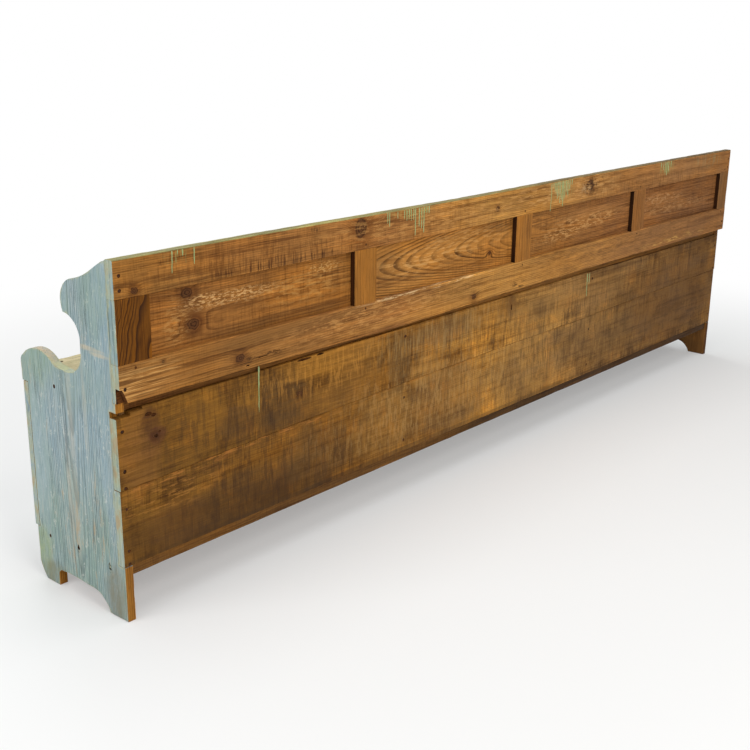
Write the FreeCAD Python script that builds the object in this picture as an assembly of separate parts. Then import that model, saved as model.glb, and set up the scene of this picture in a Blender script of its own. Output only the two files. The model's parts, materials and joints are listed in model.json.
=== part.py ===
import FreeCAD, Part
import os

Vector = FreeCAD.Vector

# A long monks bench in pine: a closed chest with lift-up seat lids between two shaped end
# boards, with a framed and panelled back above the seat.
# Frame: +Z up, the sitter faces -Y, the sitter's left is +X. The origin is the centre of the
# bench's plan at floor level. Sizes are in millimetres. A depth is measured forwards from the
# back plane, which is the rear edge of the feet.

# Overall sizes
BENCH_LENGTH = 2590.0
END_THICKNESS = 20.0
END_DEPTH = 312.0
FOOT_HEIGHT = 97.0
BOX_HEIGHT = 321.0
SEAT_THICKNESS = 22.0
BACK_RISE = 273.0

# Chest boards
FLOOR_THICKNESS = 22.0
FLOOR_REAR_SETBACK = 4.0
LOWER_BACK_THICKNESS = 20.0
PLANK_JOINT_RISE_LEFT = 162.0
PLANK_JOINT_RISE_RIGHT = 195.0
FRONT_BOARD_THICKNESS = 16.0
FRONT_BOARD_SETBACK = 4.0
FOOT_SETBACK = 11.0
DIVIDER_THICKNESS = 18.0
DIVIDER_OFFSET = 440.0
CLEAT_WIDTH = 20.0
CLEAT_HEIGHT = 22.0
BEARER_WIDTH = 30.0
BEARER_SHOWING = 12.0

# Seat: a fixed rear rail, a fixed piece at each end, and lids between them
SEAT_NOSING = 14.0
SEAT_RAIL_WIDTH = 70.0
SEAT_END_WIDTH = 135.0
LID_GAP = 3.0
LID_REST_GAP = 0.2
NOSING_TOP_RADIUS = 8.0
NOSING_BOTTOM_RADIUS = 4.0
BATTEN_WIDTH = 40.0
BATTEN_THICKNESS = 16.0
BATTEN_INSET = 110.0
BATTEN_REAR_SPACE = 20.0
BATTEN_FRONT_SPACE = 12.0

# Back frame
FRAME_THICKNESS = 23.0
FRAME_PROUD = 16.5
FRAME_LAP = 2.0
BOTTOM_RAIL_WIDTH = 77.0
TOP_RAIL_WIDTH = 75.0
TOP_RAIL_ROUND = 3.0
STILE_LEFT_WIDTH = 80.0
STILE_RIGHT_WIDTH = 66.0
MUNTIN_WIDTH = 75.0
MUNTIN_DRIFTS = (16.0, 25.5, 28.0)
PANEL_THICKNESS = 7.0
PANEL_FRONT_RECESS = 3.0
PANEL_PLAY = 0.25
GROOVE_DEPTH = 9.0
PANEL_FLOAT = 2.0
TENON_LENGTH = 30.0
TENON_SHOULDER = 10.0
MORTISE_SPARE = 0.5
JOINT_GAP = 0.1
PEG_RADIUS = 3.0
PEG_INSET = 11.0

# Old damage that shows from behind
RAIL_CHIP_LENGTH = 19.0
RAIL_CHIP_TOP_LENGTH = 5.0
RAIL_CHIP_HEIGHT = 28.0
RAIL_CHIP_DEPTH = 12.0
BOARD_CHIP_LENGTH = 65.0
BOARD_CHIP_DEPTH = 5.0
BOARD_CHIP_END_DEPTH = 12.0

# Side outline of the end boards: heights of the arm and dip above the seat, drops of the
# wing below its top, and depths in front of the back plane
WING_TOP_DROP = 2.0
WING_SHOULDER_DEPTH = 50.0
WING_SHOULDER_DROP = 25.0
WING_HOLLOW_DEPTH = 118.0
WING_HOLLOW_DROP = 53.5
WING_NOSE_DEPTH = 150.0
WING_NOSE_DROP = 124.0
NECK_DEPTH = 101.0
NECK_STRAIGHT = 27.0
DIP_DEPTH = 155.0
DIP_RISE = 29.0
ARM_REAR_DEPTH = 200.0
ARM_REAR_RISE = 37.0
ARM_FRONT_INSET = 9.0
ARM_FRONT_RISE = 35.0
ARM_EDGE_RISE = 13.0
FRONT_TOE_HEIGHT = 36.0
FRONT_TOE_INSET = 21.5
FRONT_FOOT_WIDTH = 46.5
ARCH_SIDE_HEIGHT = 25.0
ARCH_CORNER = 13.0
ARCH_REAR_DEPTH = 123.0
ARCH_REAR_HEIGHT = 36.0
REAR_FOOT_WIDTH = 59.0

# Hinges
HINGE_INSET = 130.0
LEAF_LENGTH = 60.0
LEAF_HEIGHT = 16.0
LEAF_THICKNESS = 1.5
LEAF_PLAY = 0.4
BARREL_RADIUS = 3.5
BARREL_RISE = 0.3
KNUCKLE_COUNT = 5
KNUCKLE_GAP = 0.3
PIN_RADIUS = 1.5
PIN_CLEARANCE = 0.05
PIN_HEAD_RADIUS = 2.6
PIN_HEAD_LENGTH = 1.2

# Fasteners
NAIL_WIDTH = 3.2
NAIL_HEAD_WIDTH = 6.6
NAIL_HEAD_THICKNESS = 1.6
NAIL_LENGTH = 44.0
SHORT_NAIL_LENGTH = 34.0
NAIL_CLEARANCE = 0.05
NAIL_END_INSET = 13.0
SCREW_RADIUS = 1.5
SCREW_HEAD_RADIUS = 2.6
SCREW_LENGTH = 20.0
SCREW_PITCH = 20.0
SCREW_SLOT_WIDTH = 0.6
SCREW_SLOT_DEPTH = 0.5
BATTEN_SCREW_LENGTH = 30.0
BATTEN_SCREW_INSET = 35.0
SCREW_CLEARANCE = 0.05
CHEST_NAIL_RISES = (5.0, 33.0, 122.0)
CHEST_NAIL_DROPS = (155.0, 120.0, 39.0)
DIVIDER_NAIL_RISES = (30.0, 142.0)
DIVIDER_NAIL_DROPS = (22.0,)
FRAME_NAIL_RISE = 29.0
FRAME_NAIL_DROPS = (30.0, 58.0)
FLOOR_END_NAIL_DEPTHS = (50.0, 154.0)
FLOOR_END_NAIL_INSET = 46.0
SEAT_END_NAIL_DEPTH = 198.0
ROW_NAIL_COUNT = 7
ROW_NAIL_INSET = 120.0
CLEAT_NAIL_INSET = 20.0

# Planes and levels worked out from the sizes above
half_length = BENCH_LENGTH / 2
inner_face = half_length - END_THICKNESS
back_plane = (SEAT_NOSING + END_DEPTH - FRAME_PROUD) / 2
floor_top = FOOT_HEIGHT + FLOOR_THICKNESS
box_top = floor_top + BOX_HEIGHT
seat_top = box_top + SEAT_THICKNESS
frame_bottom = seat_top - FRAME_LAP
bench_top = seat_top + BACK_RISE
bottom_rail_top = frame_bottom + BOTTOM_RAIL_WIDTH
top_rail_bottom = bench_top - TOP_RAIL_WIDTH
frame_front_depth = FRAME_THICKNESS - FRAME_PROUD
chest_front_depth = END_DEPTH - FRONT_BOARD_SETBACK
chest_inner_depth = chest_front_depth - FRONT_BOARD_THICKNESS
foot_front_depth = END_DEPTH - FOOT_SETBACK
seat_front_depth = END_DEPTH + SEAT_NOSING
seat_rail_front_depth = frame_front_depth + SEAT_RAIL_WIDTH
hinge_gap = 2 * LEAF_THICKNESS + LEAF_PLAY
lid_rear_depth = seat_rail_front_depth + hinge_gap
hinge_depth = seat_rail_front_depth + hinge_gap / 2
hinge_height = seat_top + BARREL_RISE + BARREL_RADIUS
panel_front_depth = frame_front_depth - PANEL_FRONT_RECESS
panel_rear_depth = panel_front_depth - PANEL_THICKNESS
lid_underside = box_top + LID_REST_GAP

FORWARD = Vector(0, -1, 0)
BACKWARD = Vector(0, 1, 0)
LEFTWARD = Vector(1, 0, 0)
RIGHTWARD = Vector(-1, 0, 0)
UPWARD = Vector(0, 0, 1)
DOWNWARD = Vector(0, 0, -1)

LOWER_BACK = ("lower_back_plank_upper", "lower_back_plank_lower")

pieces = {}
holes = {}


def place(x, depth, z):
    """A point at a depth in front of the back plane."""
    return Vector(x, back_plane - depth, z)


def block(x_range, depth_range, z_range):
    """A board between two x positions, two depths and two heights."""
    x0, x1 = sorted(x_range)
    rear, front = sorted(depth_range)
    z0, z1 = sorted(z_range)
    return Part.makeBox(x1 - x0, front - rear, z1 - z0, place(x0, front, z0))


def plate(corners, depth, thickness):
    """A flat board from its corners (x, z) on the rear face, and its thickness forwards."""
    points = [place(x, depth, z) for x, z in corners]
    outline = Part.makePolygon(points + points[:1])
    return Part.Face(outline).extrude(FORWARD * thickness)


def long_edges(shape, depth, z):
    """The edges along X at one depth and height."""
    found = []
    for edge in shape.Edges:
        box = edge.BoundBox
        level = abs(box.ZMin - z) < 0.01 and abs(box.ZMax - z) < 0.01
        in_plane = abs(box.YMin - (back_plane - depth)) < 0.01 and box.YLength < 0.01
        if level and in_plane:
            found.append(edge)
    return found


def aimed(shape, point, direction):
    """A shape drawn along -Z below the origin, moved to a point and turned to a direction."""
    shape.Placement = FreeCAD.Placement(point, FreeCAD.Rotation(DOWNWARD, direction))
    return shape


def nail(point, direction, length, clearance=0.0):
    """A cut nail with a square shank and a flat square head flush with the wood."""
    shank_width = NAIL_WIDTH + 2 * clearance
    head_width = NAIL_HEAD_WIDTH + 2 * clearance
    head_thickness = NAIL_HEAD_THICKNESS + clearance
    shank_length = length + clearance
    corner = -shank_width / 2
    shank = Part.makeBox(shank_width, shank_width, shank_length, Vector(corner, corner, -shank_length))
    corner = -head_width / 2
    head = Part.makeBox(head_width, head_width, head_thickness, Vector(corner, corner, -head_thickness))
    return aimed(shank.fuse(head).removeSplitter(), point, direction)


def screw(point, direction, length, clearance=0.0, slotted=True):
    """A countersunk wood screw, its head flush with the face it is driven into."""
    shank_radius = SCREW_RADIUS + clearance
    head_radius = SCREW_HEAD_RADIUS + clearance
    head_depth = head_radius - shank_radius
    head = Part.makeCone(shank_radius, head_radius, head_depth, Vector(0, 0, -head_depth))
    tip = -length - clearance
    shank = Part.makeCylinder(shank_radius, -head_depth - tip, Vector(0, 0, tip))
    body = shank.fuse(head)
    if slotted:
        slot = Part.makeBox(2 * head_radius, SCREW_SLOT_WIDTH, SCREW_SLOT_DEPTH,
                            Vector(-head_radius, -SCREW_SLOT_WIDTH / 2, -SCREW_SLOT_DEPTH))
        body = body.cut(slot)
    return aimed(body, point, direction)


def bore(names, hole):
    """Notes a hole to be cut in each named piece."""
    for name in names:
        holes.setdefault(name, []).append(hole)


def drive_nail(group, names, point, direction, length=NAIL_LENGTH):
    pieces.setdefault(group, []).append(nail(point, direction, length))
    bore(names, nail(point, direction, length, NAIL_CLEARANCE))


def drive_screw(group, names, point, direction, length):
    pieces.setdefault(group, []).append(screw(point, direction, length))
    bore(names, screw(point, direction, length, SCREW_CLEARANCE, slotted=False))


def bowed_edge(start, end, bow):
    """A straight edge, or an arc whose rise is the bow times its chord, to the travel's left."""
    if bow == 0:
        return Part.makeLine(start, end)
    chord = end - start
    side = LEFTWARD.cross(chord)
    return Part.Arc(start, start + chord * 0.5 + side * bow, end).toShape()


def end_outline(x):
    """The side outline of an end board, walked from the rear foot up, over and down the front."""
    nose_height = bench_top - WING_NOSE_DROP
    dip_height = seat_top + DIP_RISE
    neck_middle = (nose_height + dip_height) / 2
    toe_depth = foot_front_depth - FRONT_TOE_INSET
    front_foot_rear = toe_depth - FRONT_FOOT_WIDTH
    arch_front = front_foot_rear - ARCH_CORNER
    arch_front_top = ARCH_SIDE_HEIGHT + ARCH_CORNER
    stretches = [
        (0, floor_top, 0),
        (LOWER_BACK_THICKNESS, floor_top, 0),
        (LOWER_BACK_THICKNESS, box_top, 0),
        (0, box_top, 0),
        (0, frame_bottom, 0),
        (frame_front_depth, frame_bottom, 0),
        (frame_front_depth, bench_top - WING_TOP_DROP, 0),
        (WING_SHOULDER_DEPTH, bench_top - WING_SHOULDER_DROP, -0.036),
        (WING_HOLLOW_DEPTH, bench_top - WING_HOLLOW_DROP, 0.047),
        (WING_NOSE_DEPTH, nose_height, -0.25),
        (NECK_DEPTH, neck_middle + NECK_STRAIGHT / 2, 0.196),
        (NECK_DEPTH, neck_middle - NECK_STRAIGHT / 2, 0),
        (DIP_DEPTH, dip_height, 0.217),
        (ARM_REAR_DEPTH, seat_top + ARM_REAR_RISE, 0.03),
        (END_DEPTH - ARM_FRONT_INSET, seat_top + ARM_FRONT_RISE, -0.2),
        (END_DEPTH, seat_top + ARM_EDGE_RISE, -0.17),
        (END_DEPTH, box_top, 0),
        (chest_inner_depth, box_top, 0),
        (chest_inner_depth, floor_top, 0),
        (foot_front_depth, floor_top, 0),
        (foot_front_depth, FRONT_TOE_HEIGHT, 0),
        (toe_depth, 0, -0.05),
        (front_foot_rear, 0, 0),
        (front_foot_rear, ARCH_SIDE_HEIGHT, 0),
        (arch_front, arch_front_top, 0.2),
        (ARCH_REAR_DEPTH, ARCH_REAR_HEIGHT, 0.03),
        (REAR_FOOT_WIDTH, 0, 0.19),
        (0, 0, 0),
    ]
    edges = []
    start = place(x, 0, 0)
    for depth, z, bow in stretches:
        end = place(x, depth, z)
        edges.append(bowed_edge(start, end, bow))
        start = end
    return Part.Face(Part.Wire(edges))


def make_end_boards():
    for name, x in (("left_end_board", inner_face), ("right_end_board", -half_length)):
        pieces[name] = end_outline(x).extrude(LEFTWARD * END_THICKNESS)


def make_chest():
    whole = (-half_length, half_length)
    inside = (-inner_face, inner_face)
    sides = (floor_top, box_top)
    joint_left = (half_length, floor_top + PLANK_JOINT_RISE_LEFT)
    joint_right = (-half_length, floor_top + PLANK_JOINT_RISE_RIGHT)
    chip_start = half_length - BOARD_CHIP_LENGTH
    pieces["lower_back_plank_upper"] = plate([
        joint_left,
        joint_right,
        (-half_length, box_top),
        (chip_start, box_top),
        (chip_start, box_top - BOARD_CHIP_DEPTH),
        (half_length, box_top - BOARD_CHIP_END_DEPTH),
    ], 0, LOWER_BACK_THICKNESS)
    pieces["lower_back_plank_lower"] = plate([
        (half_length, floor_top),
        (-half_length, floor_top),
        joint_right,
        joint_left,
    ], 0, LOWER_BACK_THICKNESS)
    pieces["front_board"] = block(whole, (chest_inner_depth, chest_front_depth), sides)
    pieces["floor_board"] = block(inside, (FLOOR_REAR_SETBACK, foot_front_depth), (FOOT_HEIGHT, floor_top))
    across = (LOWER_BACK_THICKNESS, chest_inner_depth)
    under_seat = (box_top - CLEAT_HEIGHT, box_top)
    for side, sign in (("left", 1), ("right", -1)):
        middle = sign * DIVIDER_OFFSET
        thickness = (middle - DIVIDER_THICKNESS / 2, middle + DIVIDER_THICKNESS / 2)
        pieces[side + "_divider"] = block(thickness, across, sides)
        cleat = (sign * (inner_face - CLEAT_WIDTH), sign * inner_face)
        pieces[side + "_seat_cleat"] = block(cleat, across, under_seat)
        bearer_start = inner_face - SEAT_END_WIDTH - BEARER_SHOWING
        bearer = (sign * bearer_start, sign * (bearer_start + BEARER_WIDTH))
        pieces[side + "_seat_bearer"] = block(bearer, across, under_seat)


def nosed(board, z_low, z_high):
    """Rounds the front nosing of a seat board."""
    board = board.makeFillet(NOSING_TOP_RADIUS, long_edges(board, seat_front_depth, z_high))
    return board.makeFillet(NOSING_BOTTOM_RADIUS, long_edges(board, seat_front_depth, z_low))


def lid_ranges():
    """Each lid's name and its two ends."""
    outer_start = DIVIDER_OFFSET + LID_GAP / 2
    outer_end = inner_face - SEAT_END_WIDTH - LID_GAP
    return (
        ("left", outer_start, outer_end),
        ("middle", LID_GAP / 2 - DIVIDER_OFFSET, DIVIDER_OFFSET - LID_GAP / 2),
        ("right", -outer_end, -outer_start),
    )


def make_seat():
    rail_range = (frame_front_depth, seat_rail_front_depth)
    pieces["seat_rail"] = block((-inner_face, inner_face), rail_range, (box_top, seat_top))
    for side, sign in (("left", 1), ("right", -1)):
        ends = (sign * (inner_face - SEAT_END_WIDTH), sign * inner_face)
        board = block(ends, (seat_rail_front_depth, seat_front_depth), (box_top, seat_top))
        pieces[side + "_seat_end"] = nosed(board, box_top, seat_top)
    for side, x0, x1 in lid_ranges():
        board = block((x0, x1), (lid_rear_depth, seat_front_depth), (lid_underside, seat_top))
        pieces[side + "_lid"] = nosed(board, lid_underside, seat_top)
        make_battens(side, x0, x1)


def make_battens(side, x0, x1):
    rear = lid_rear_depth + BATTEN_REAR_SPACE
    front = chest_inner_depth - BATTEN_FRONT_SPACE
    underside = lid_underside - BATTEN_THICKNESS
    starts = (x0 + BATTEN_INSET, x1 - BATTEN_INSET - BATTEN_WIDTH)
    for number, start in enumerate(starts, 1):
        name = "%s_lid_batten_%d" % (side, number)
        pieces[name] = block((start, start + BATTEN_WIDTH), (rear, front), (underside, lid_underside))
        for depth in (rear + BATTEN_SCREW_INSET, front - BATTEN_SCREW_INSET):
            point = place(start + BATTEN_WIDTH / 2, depth, underside)
            drive_screw(side + "_batten_screws", (name, side + "_lid"), point, UPWARD, BATTEN_SCREW_LENGTH)


def muntin_spans():
    """Where each upright of the back frame starts and ends, from the sitter's left."""
    clear = BENCH_LENGTH - STILE_LEFT_WIDTH - STILE_RIGHT_WIDTH
    count = len(MUNTIN_DRIFTS)
    panel = (clear - count * MUNTIN_WIDTH) / (count + 1)
    spans = [("back_stile_left", half_length, half_length - STILE_LEFT_WIDTH)]
    for number, drift in enumerate(MUNTIN_DRIFTS, 1):
        start = half_length - STILE_LEFT_WIDTH - number * panel - (number - 1) * MUNTIN_WIDTH - drift
        spans.append(("back_muntin_%d" % number, start, start - MUNTIN_WIDTH))
    spans.append(("back_stile_right", STILE_RIGHT_WIDTH - half_length, -half_length))
    return spans


def make_back_frame():
    whole = (-half_length, half_length)
    thickness = (frame_front_depth, -FRAME_PROUD)
    top_rail = block(whole, thickness, (top_rail_bottom, bench_top))
    for depth in thickness:
        top_rail = top_rail.makeFillet(TOP_RAIL_ROUND, long_edges(top_rail, depth, bench_top))
    bottom_rail = block(whole, thickness, (frame_bottom, bottom_rail_top))
    bottom_rail = bottom_rail.cut(plate([
        (half_length, frame_bottom),
        (half_length - RAIL_CHIP_LENGTH, frame_bottom),
        (half_length - RAIL_CHIP_TOP_LENGTH, frame_bottom + RAIL_CHIP_HEIGHT),
        (half_length, frame_bottom + RAIL_CHIP_HEIGHT),
    ], -FRAME_PROUD, RAIL_CHIP_DEPTH))
    spans = muntin_spans()
    groove = (panel_front_depth + PANEL_PLAY, panel_rear_depth - PANEL_PLAY)
    tenon = (groove[0] - JOINT_GAP, groove[1] + JOINT_GAP)
    groove_ends = (spans[0][2] + GROOVE_DEPTH, spans[-1][1] - GROOVE_DEPTH)
    top_cuts = [block(groove_ends, groove, (top_rail_bottom, top_rail_bottom + GROOVE_DEPTH))]
    bottom_cuts = [block(groove_ends, groove, (bottom_rail_top - GROOVE_DEPTH, bottom_rail_top))]
    mortise_depth = TENON_LENGTH + MORTISE_SPARE
    uprights = {}
    for name, start, end in spans:
        upright = block((start, end), thickness, (bottom_rail_top, top_rail_bottom))
        tenon_ends = (start - TENON_SHOULDER, end + TENON_SHOULDER)
        mortise_ends = (tenon_ends[0] + JOINT_GAP, tenon_ends[1] - JOINT_GAP)
        tenon_height = (bottom_rail_top - TENON_LENGTH, top_rail_bottom + TENON_LENGTH)
        uprights[name] = upright.fuse(block(tenon_ends, tenon, tenon_height)).removeSplitter()
        top_cuts.append(block(mortise_ends, groove, (top_rail_bottom, top_rail_bottom + mortise_depth)))
        bottom_cuts.append(block(mortise_ends, groove, (bottom_rail_top - mortise_depth, bottom_rail_top)))
    opening = (bottom_rail_top, top_rail_bottom)
    tongue = GROOVE_DEPTH - PANEL_FLOAT
    for number, (left, right) in enumerate(zip(spans[:-1], spans[1:]), 1):
        left_groove = block((left[2], left[2] + GROOVE_DEPTH), groove, opening)
        right_groove = block((right[1], right[1] - GROOVE_DEPTH), groove, opening)
        uprights[left[0]] = uprights[left[0]].cut(left_groove)
        uprights[right[0]] = uprights[right[0]].cut(right_groove)
        pieces["back_panel_%d" % number] = block(
            (left[2] + tongue, right[1] - tongue),
            (panel_front_depth, panel_rear_depth),
            (bottom_rail_top - tongue, top_rail_bottom + tongue))
    pieces["back_top_rail"] = top_rail.cut(top_cuts)
    pieces["back_bottom_rail"] = bottom_rail.cut(bottom_cuts)
    pieces.update(uprights)
    for name, start, end in spans:
        for rail, z in (("back_top_rail", top_rail_bottom + PEG_INSET),
                        ("back_bottom_rail", bottom_rail_top - PEG_INSET)):
            point = place((start + end) / 2, -FRAME_PROUD, z)
            peg = Part.makeCylinder(PEG_RADIUS, FRAME_THICKNESS, point, FORWARD)
            hole = Part.makeCylinder(PEG_RADIUS + NAIL_CLEARANCE, FRAME_THICKNESS, point, FORWARD)
            pieces.setdefault("frame_pegs", []).append(peg)
            bore((name, rail), hole)


def knuckles(x, numbers):
    """The barrel segments of one leaf, and the room that the other leaf's segments need."""
    pitch = LEAF_LENGTH / KNUCKLE_COUNT
    own = []
    room = []
    for number in range(KNUCKLE_COUNT):
        start = x - LEAF_LENGTH / 2 + number * pitch
        if number in numbers:
            begin = place(start + KNUCKLE_GAP / 2, hinge_depth, hinge_height)
            own.append(Part.makeCylinder(BARREL_RADIUS, pitch - KNUCKLE_GAP, begin, LEFTWARD))
        else:
            begin = place(start - KNUCKLE_GAP / 2, hinge_depth, hinge_height)
            radius = BARREL_RADIUS + KNUCKLE_GAP
            room.append(Part.makeCylinder(radius, pitch + KNUCKLE_GAP, begin, LEFTWARD))
    return own, room


def hinge_leaf(x, depth_range, numbers):
    ends = (x - LEAF_LENGTH / 2, x + LEAF_LENGTH / 2)
    flat = block(ends, depth_range, (seat_top - LEAF_HEIGHT, hinge_height))
    own, room = knuckles(x, numbers)
    pin_start = place(x - LEAF_LENGTH / 2 - 1, hinge_depth, hinge_height)
    pin_room = Part.makeCylinder(PIN_RADIUS + PIN_CLEARANCE, LEAF_LENGTH + 2, pin_start, LEFTWARD)
    return flat.cut(room).fuse(own).cut(pin_room)


def make_hinge(side, number, x):
    prefix = "%s_hinge_%d_" % (side, number)
    fixed_face = seat_rail_front_depth + LEAF_THICKNESS
    moving_face = lid_rear_depth - LEAF_THICKNESS
    ends = range(0, KNUCKLE_COUNT, 2)
    between = range(1, KNUCKLE_COUNT, 2)
    pieces[prefix + "rail_leaf"] = hinge_leaf(x, (seat_rail_front_depth, fixed_face), ends)
    pieces[prefix + "lid_leaf"] = hinge_leaf(x, (moving_face, lid_rear_depth), between)
    half = LEAF_LENGTH / 2
    start = place(x - half - PIN_HEAD_LENGTH, hinge_depth, hinge_height)
    pin = Part.makeCylinder(PIN_RADIUS, LEAF_LENGTH + 2 * PIN_HEAD_LENGTH, start, LEFTWARD)
    head_starts = (start, place(x + half, hinge_depth, hinge_height))
    heads = [Part.makeCylinder(PIN_HEAD_RADIUS, PIN_HEAD_LENGTH, end, LEFTWARD) for end in head_starts]
    pieces.setdefault("hinge_pins", []).append(pin.fuse(heads).removeSplitter())
    for step in (-1, 0, 1):
        z = seat_top - LEAF_HEIGHT / 2
        screw_x = x + step * SCREW_PITCH
        drive_screw("rail_hinge_screws", (prefix + "rail_leaf", "seat_rail"),
                    place(screw_x, fixed_face, z), BACKWARD, SCREW_LENGTH)
        drive_screw(side + "_hinge_screws", (prefix + "lid_leaf", side + "_lid"),
                    place(screw_x, moving_face, z), FORWARD, SCREW_LENGTH)


def make_hinges():
    for side, x0, x1 in lid_ranges():
        for number, x in enumerate((x0 + HINGE_INSET, x1 - HINGE_INSET), 1):
            make_hinge(side, number, x)


def nail_rows():
    """The x positions of a row of nails along the bench."""
    reach = inner_face - ROW_NAIL_INSET
    return [-reach + 2 * reach * step / (ROW_NAIL_COUNT - 1) for step in range(ROW_NAIL_COUNT)]


def nail_chest_walls():
    """Nails through the lower back and the front board into the ends and dividers."""
    end_heights = [floor_top + rise for rise in CHEST_NAIL_RISES]
    end_heights += [box_top - drop for drop in CHEST_NAIL_DROPS]
    divider_heights = [floor_top + rise for rise in DIVIDER_NAIL_RISES]
    divider_heights += [box_top - drop for drop in DIVIDER_NAIL_DROPS]
    for side, sign in (("left", 1), ("right", -1)):
        end_x = sign * (half_length - NAIL_END_INSET)
        rows = [(side + "_end_board", end_x, z) for z in end_heights]
        rows += [(side + "_divider", sign * DIVIDER_OFFSET, z) for z in divider_heights]
        for inner, x, z in rows:
            drive_nail("back_nails", LOWER_BACK + (inner,), place(x, 0, z), FORWARD)
            drive_nail("chest_nails", ("front_board", inner), place(x, chest_front_depth, z), BACKWARD)


def nail_back_frame():
    heights = [frame_bottom + FRAME_NAIL_RISE]
    heights += [bench_top - drop for drop in FRAME_NAIL_DROPS]
    for side, sign in (("left", 1), ("right", -1)):
        for z in heights:
            rail = "back_bottom_rail" if z < bottom_rail_top else "back_top_rail"
            point = place(sign * (half_length - NAIL_END_INSET), -FRAME_PROUD, z)
            names = (rail, side + "_end_board", "back_stile_" + side)
            drive_nail("back_nails", names, point, FORWARD)


def nail_floor():
    """Nails up into the walls from below, and through the end boards into the floor's ends."""
    front_middle = (chest_inner_depth + foot_front_depth) / 2
    for x in nail_rows():
        for boards, depth in ((LOWER_BACK, LOWER_BACK_THICKNESS / 2), (("front_board",), front_middle)):
            drive_nail("chest_nails", ("floor_board",) + boards, place(x, depth, FOOT_HEIGHT), UPWARD)
    depths = FLOOR_END_NAIL_DEPTHS + (foot_front_depth - FLOOR_END_NAIL_INSET,)
    for side, sign, inward in (("left", 1, RIGHTWARD), ("right", -1, LEFTWARD)):
        for depth in depths:
            point = place(sign * half_length, depth, FOOT_HEIGHT + FLOOR_THICKNESS / 2)
            drive_nail("chest_nails", (side + "_end_board", "floor_board"), point, inward)


def nail_seat():
    """Nails of the rear rail, the fixed seat ends, and the cleats and bearers under them."""
    rail_depth = (frame_front_depth + LOWER_BACK_THICKNESS) / 2
    for x in nail_rows():
        drive_nail("chest_nails", ("seat_rail",) + LOWER_BACK, place(x, rail_depth, seat_top), DOWNWARD)
    front_depth = chest_front_depth - FRONT_BOARD_THICKNESS / 2
    for side, sign, inward in (("left", 1, RIGHTWARD), ("right", -1, LEFTWARD)):
        end_board = side + "_end_board"
        seat_end = side + "_seat_end"
        divider_depth = seat_rail_front_depth - CLEAT_NAIL_INSET
        divider_point = place(sign * DIVIDER_OFFSET, divider_depth, seat_top)
        drive_nail("chest_nails", ("seat_rail", side + "_divider"), divider_point, DOWNWARD)
        side_point = place(sign * half_length, SEAT_END_NAIL_DEPTH, box_top + SEAT_THICKNESS / 2)
        drive_nail("chest_nails", (end_board, seat_end), side_point, inward)
        front_point = place(sign * (inner_face - SEAT_END_WIDTH / 2), front_depth, seat_top)
        drive_nail("chest_nails", (seat_end, "front_board"), front_point, DOWNWARD)
        cleat_x = sign * (inner_face - CLEAT_WIDTH)
        bearer_x = sign * (inner_face - SEAT_END_WIDTH + (BEARER_WIDTH - BEARER_SHOWING) / 2)
        for depth in (seat_rail_front_depth + CLEAT_NAIL_INSET, chest_inner_depth - CLEAT_NAIL_INSET):
            cleat_point = place(cleat_x, depth, box_top - CLEAT_HEIGHT / 2)
            cleat_names = (side + "_seat_cleat", end_board)
            drive_nail("short_nails", cleat_names, cleat_point, inward * -1, SHORT_NAIL_LENGTH)
            bearer_point = place(bearer_x, depth, seat_top)
            bearer_names = (seat_end, side + "_seat_bearer")
            drive_nail("short_nails", bearer_names, bearer_point, DOWNWARD, SHORT_NAIL_LENGTH)


def cut_holes():
    for name, tools in holes.items():
        pieces[name] = pieces[name].cut(tools)


def save_all():
    os.makedirs("parts", exist_ok=True)
    for name, shape in pieces.items():
        if isinstance(shape, list):
            shape = Part.makeCompound(shape)
        shape.exportStep("parts/" + name + ".step")


make_end_boards()
make_chest()
make_seat()
make_back_frame()
make_hinges()
nail_chest_walls()
nail_back_frame()
nail_floor()
nail_seat()
cut_holes()
save_all()
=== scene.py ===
import bmesh
import bpy
import json
import math
from mathutils import Matrix, Vector, kdtree, noise


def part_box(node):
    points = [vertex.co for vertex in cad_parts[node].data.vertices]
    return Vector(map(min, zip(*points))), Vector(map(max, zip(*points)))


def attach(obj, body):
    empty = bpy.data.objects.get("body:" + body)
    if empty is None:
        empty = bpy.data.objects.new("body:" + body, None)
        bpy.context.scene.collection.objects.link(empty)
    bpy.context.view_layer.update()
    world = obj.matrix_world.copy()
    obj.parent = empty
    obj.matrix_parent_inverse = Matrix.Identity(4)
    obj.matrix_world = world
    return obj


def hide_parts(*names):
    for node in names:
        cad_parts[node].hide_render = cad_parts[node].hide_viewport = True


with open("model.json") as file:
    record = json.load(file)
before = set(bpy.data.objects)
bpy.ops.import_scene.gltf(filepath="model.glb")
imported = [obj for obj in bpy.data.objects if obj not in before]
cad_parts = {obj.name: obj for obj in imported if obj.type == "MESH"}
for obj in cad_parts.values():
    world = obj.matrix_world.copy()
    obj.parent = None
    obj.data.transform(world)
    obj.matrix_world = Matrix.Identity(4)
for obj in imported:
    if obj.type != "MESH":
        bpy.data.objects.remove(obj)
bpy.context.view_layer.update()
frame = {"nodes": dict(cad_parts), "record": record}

# Places are in metres in the bench's own frame: +X is the sitter's left, -Y is the way the
# sitter faces, +Z is up. The photograph looks at the back from the sitter's left.
END_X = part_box("left_end_board")[1].x
BACK_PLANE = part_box("lower_back_plank_upper")[1].y
FRAME_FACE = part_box("back_top_rail")[1].y
FRAME_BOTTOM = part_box("back_bottom_rail")[0].z
BENCH_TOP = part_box("back_top_rail")[1].z
SEAT_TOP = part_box("seat_rail")[1].z
BOX_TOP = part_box("lower_back_plank_upper")[1].z
FLOOR_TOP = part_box("lower_back_plank_lower")[0].z
NODE_BODY = {node: body for body, nodes in frame["record"]["behaviour"]["bodies"].items() for node in nodes}
NODE_SLOT = {part["node"]: part["material_slot"] for part in frame["record"]["subparts"]}


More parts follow.
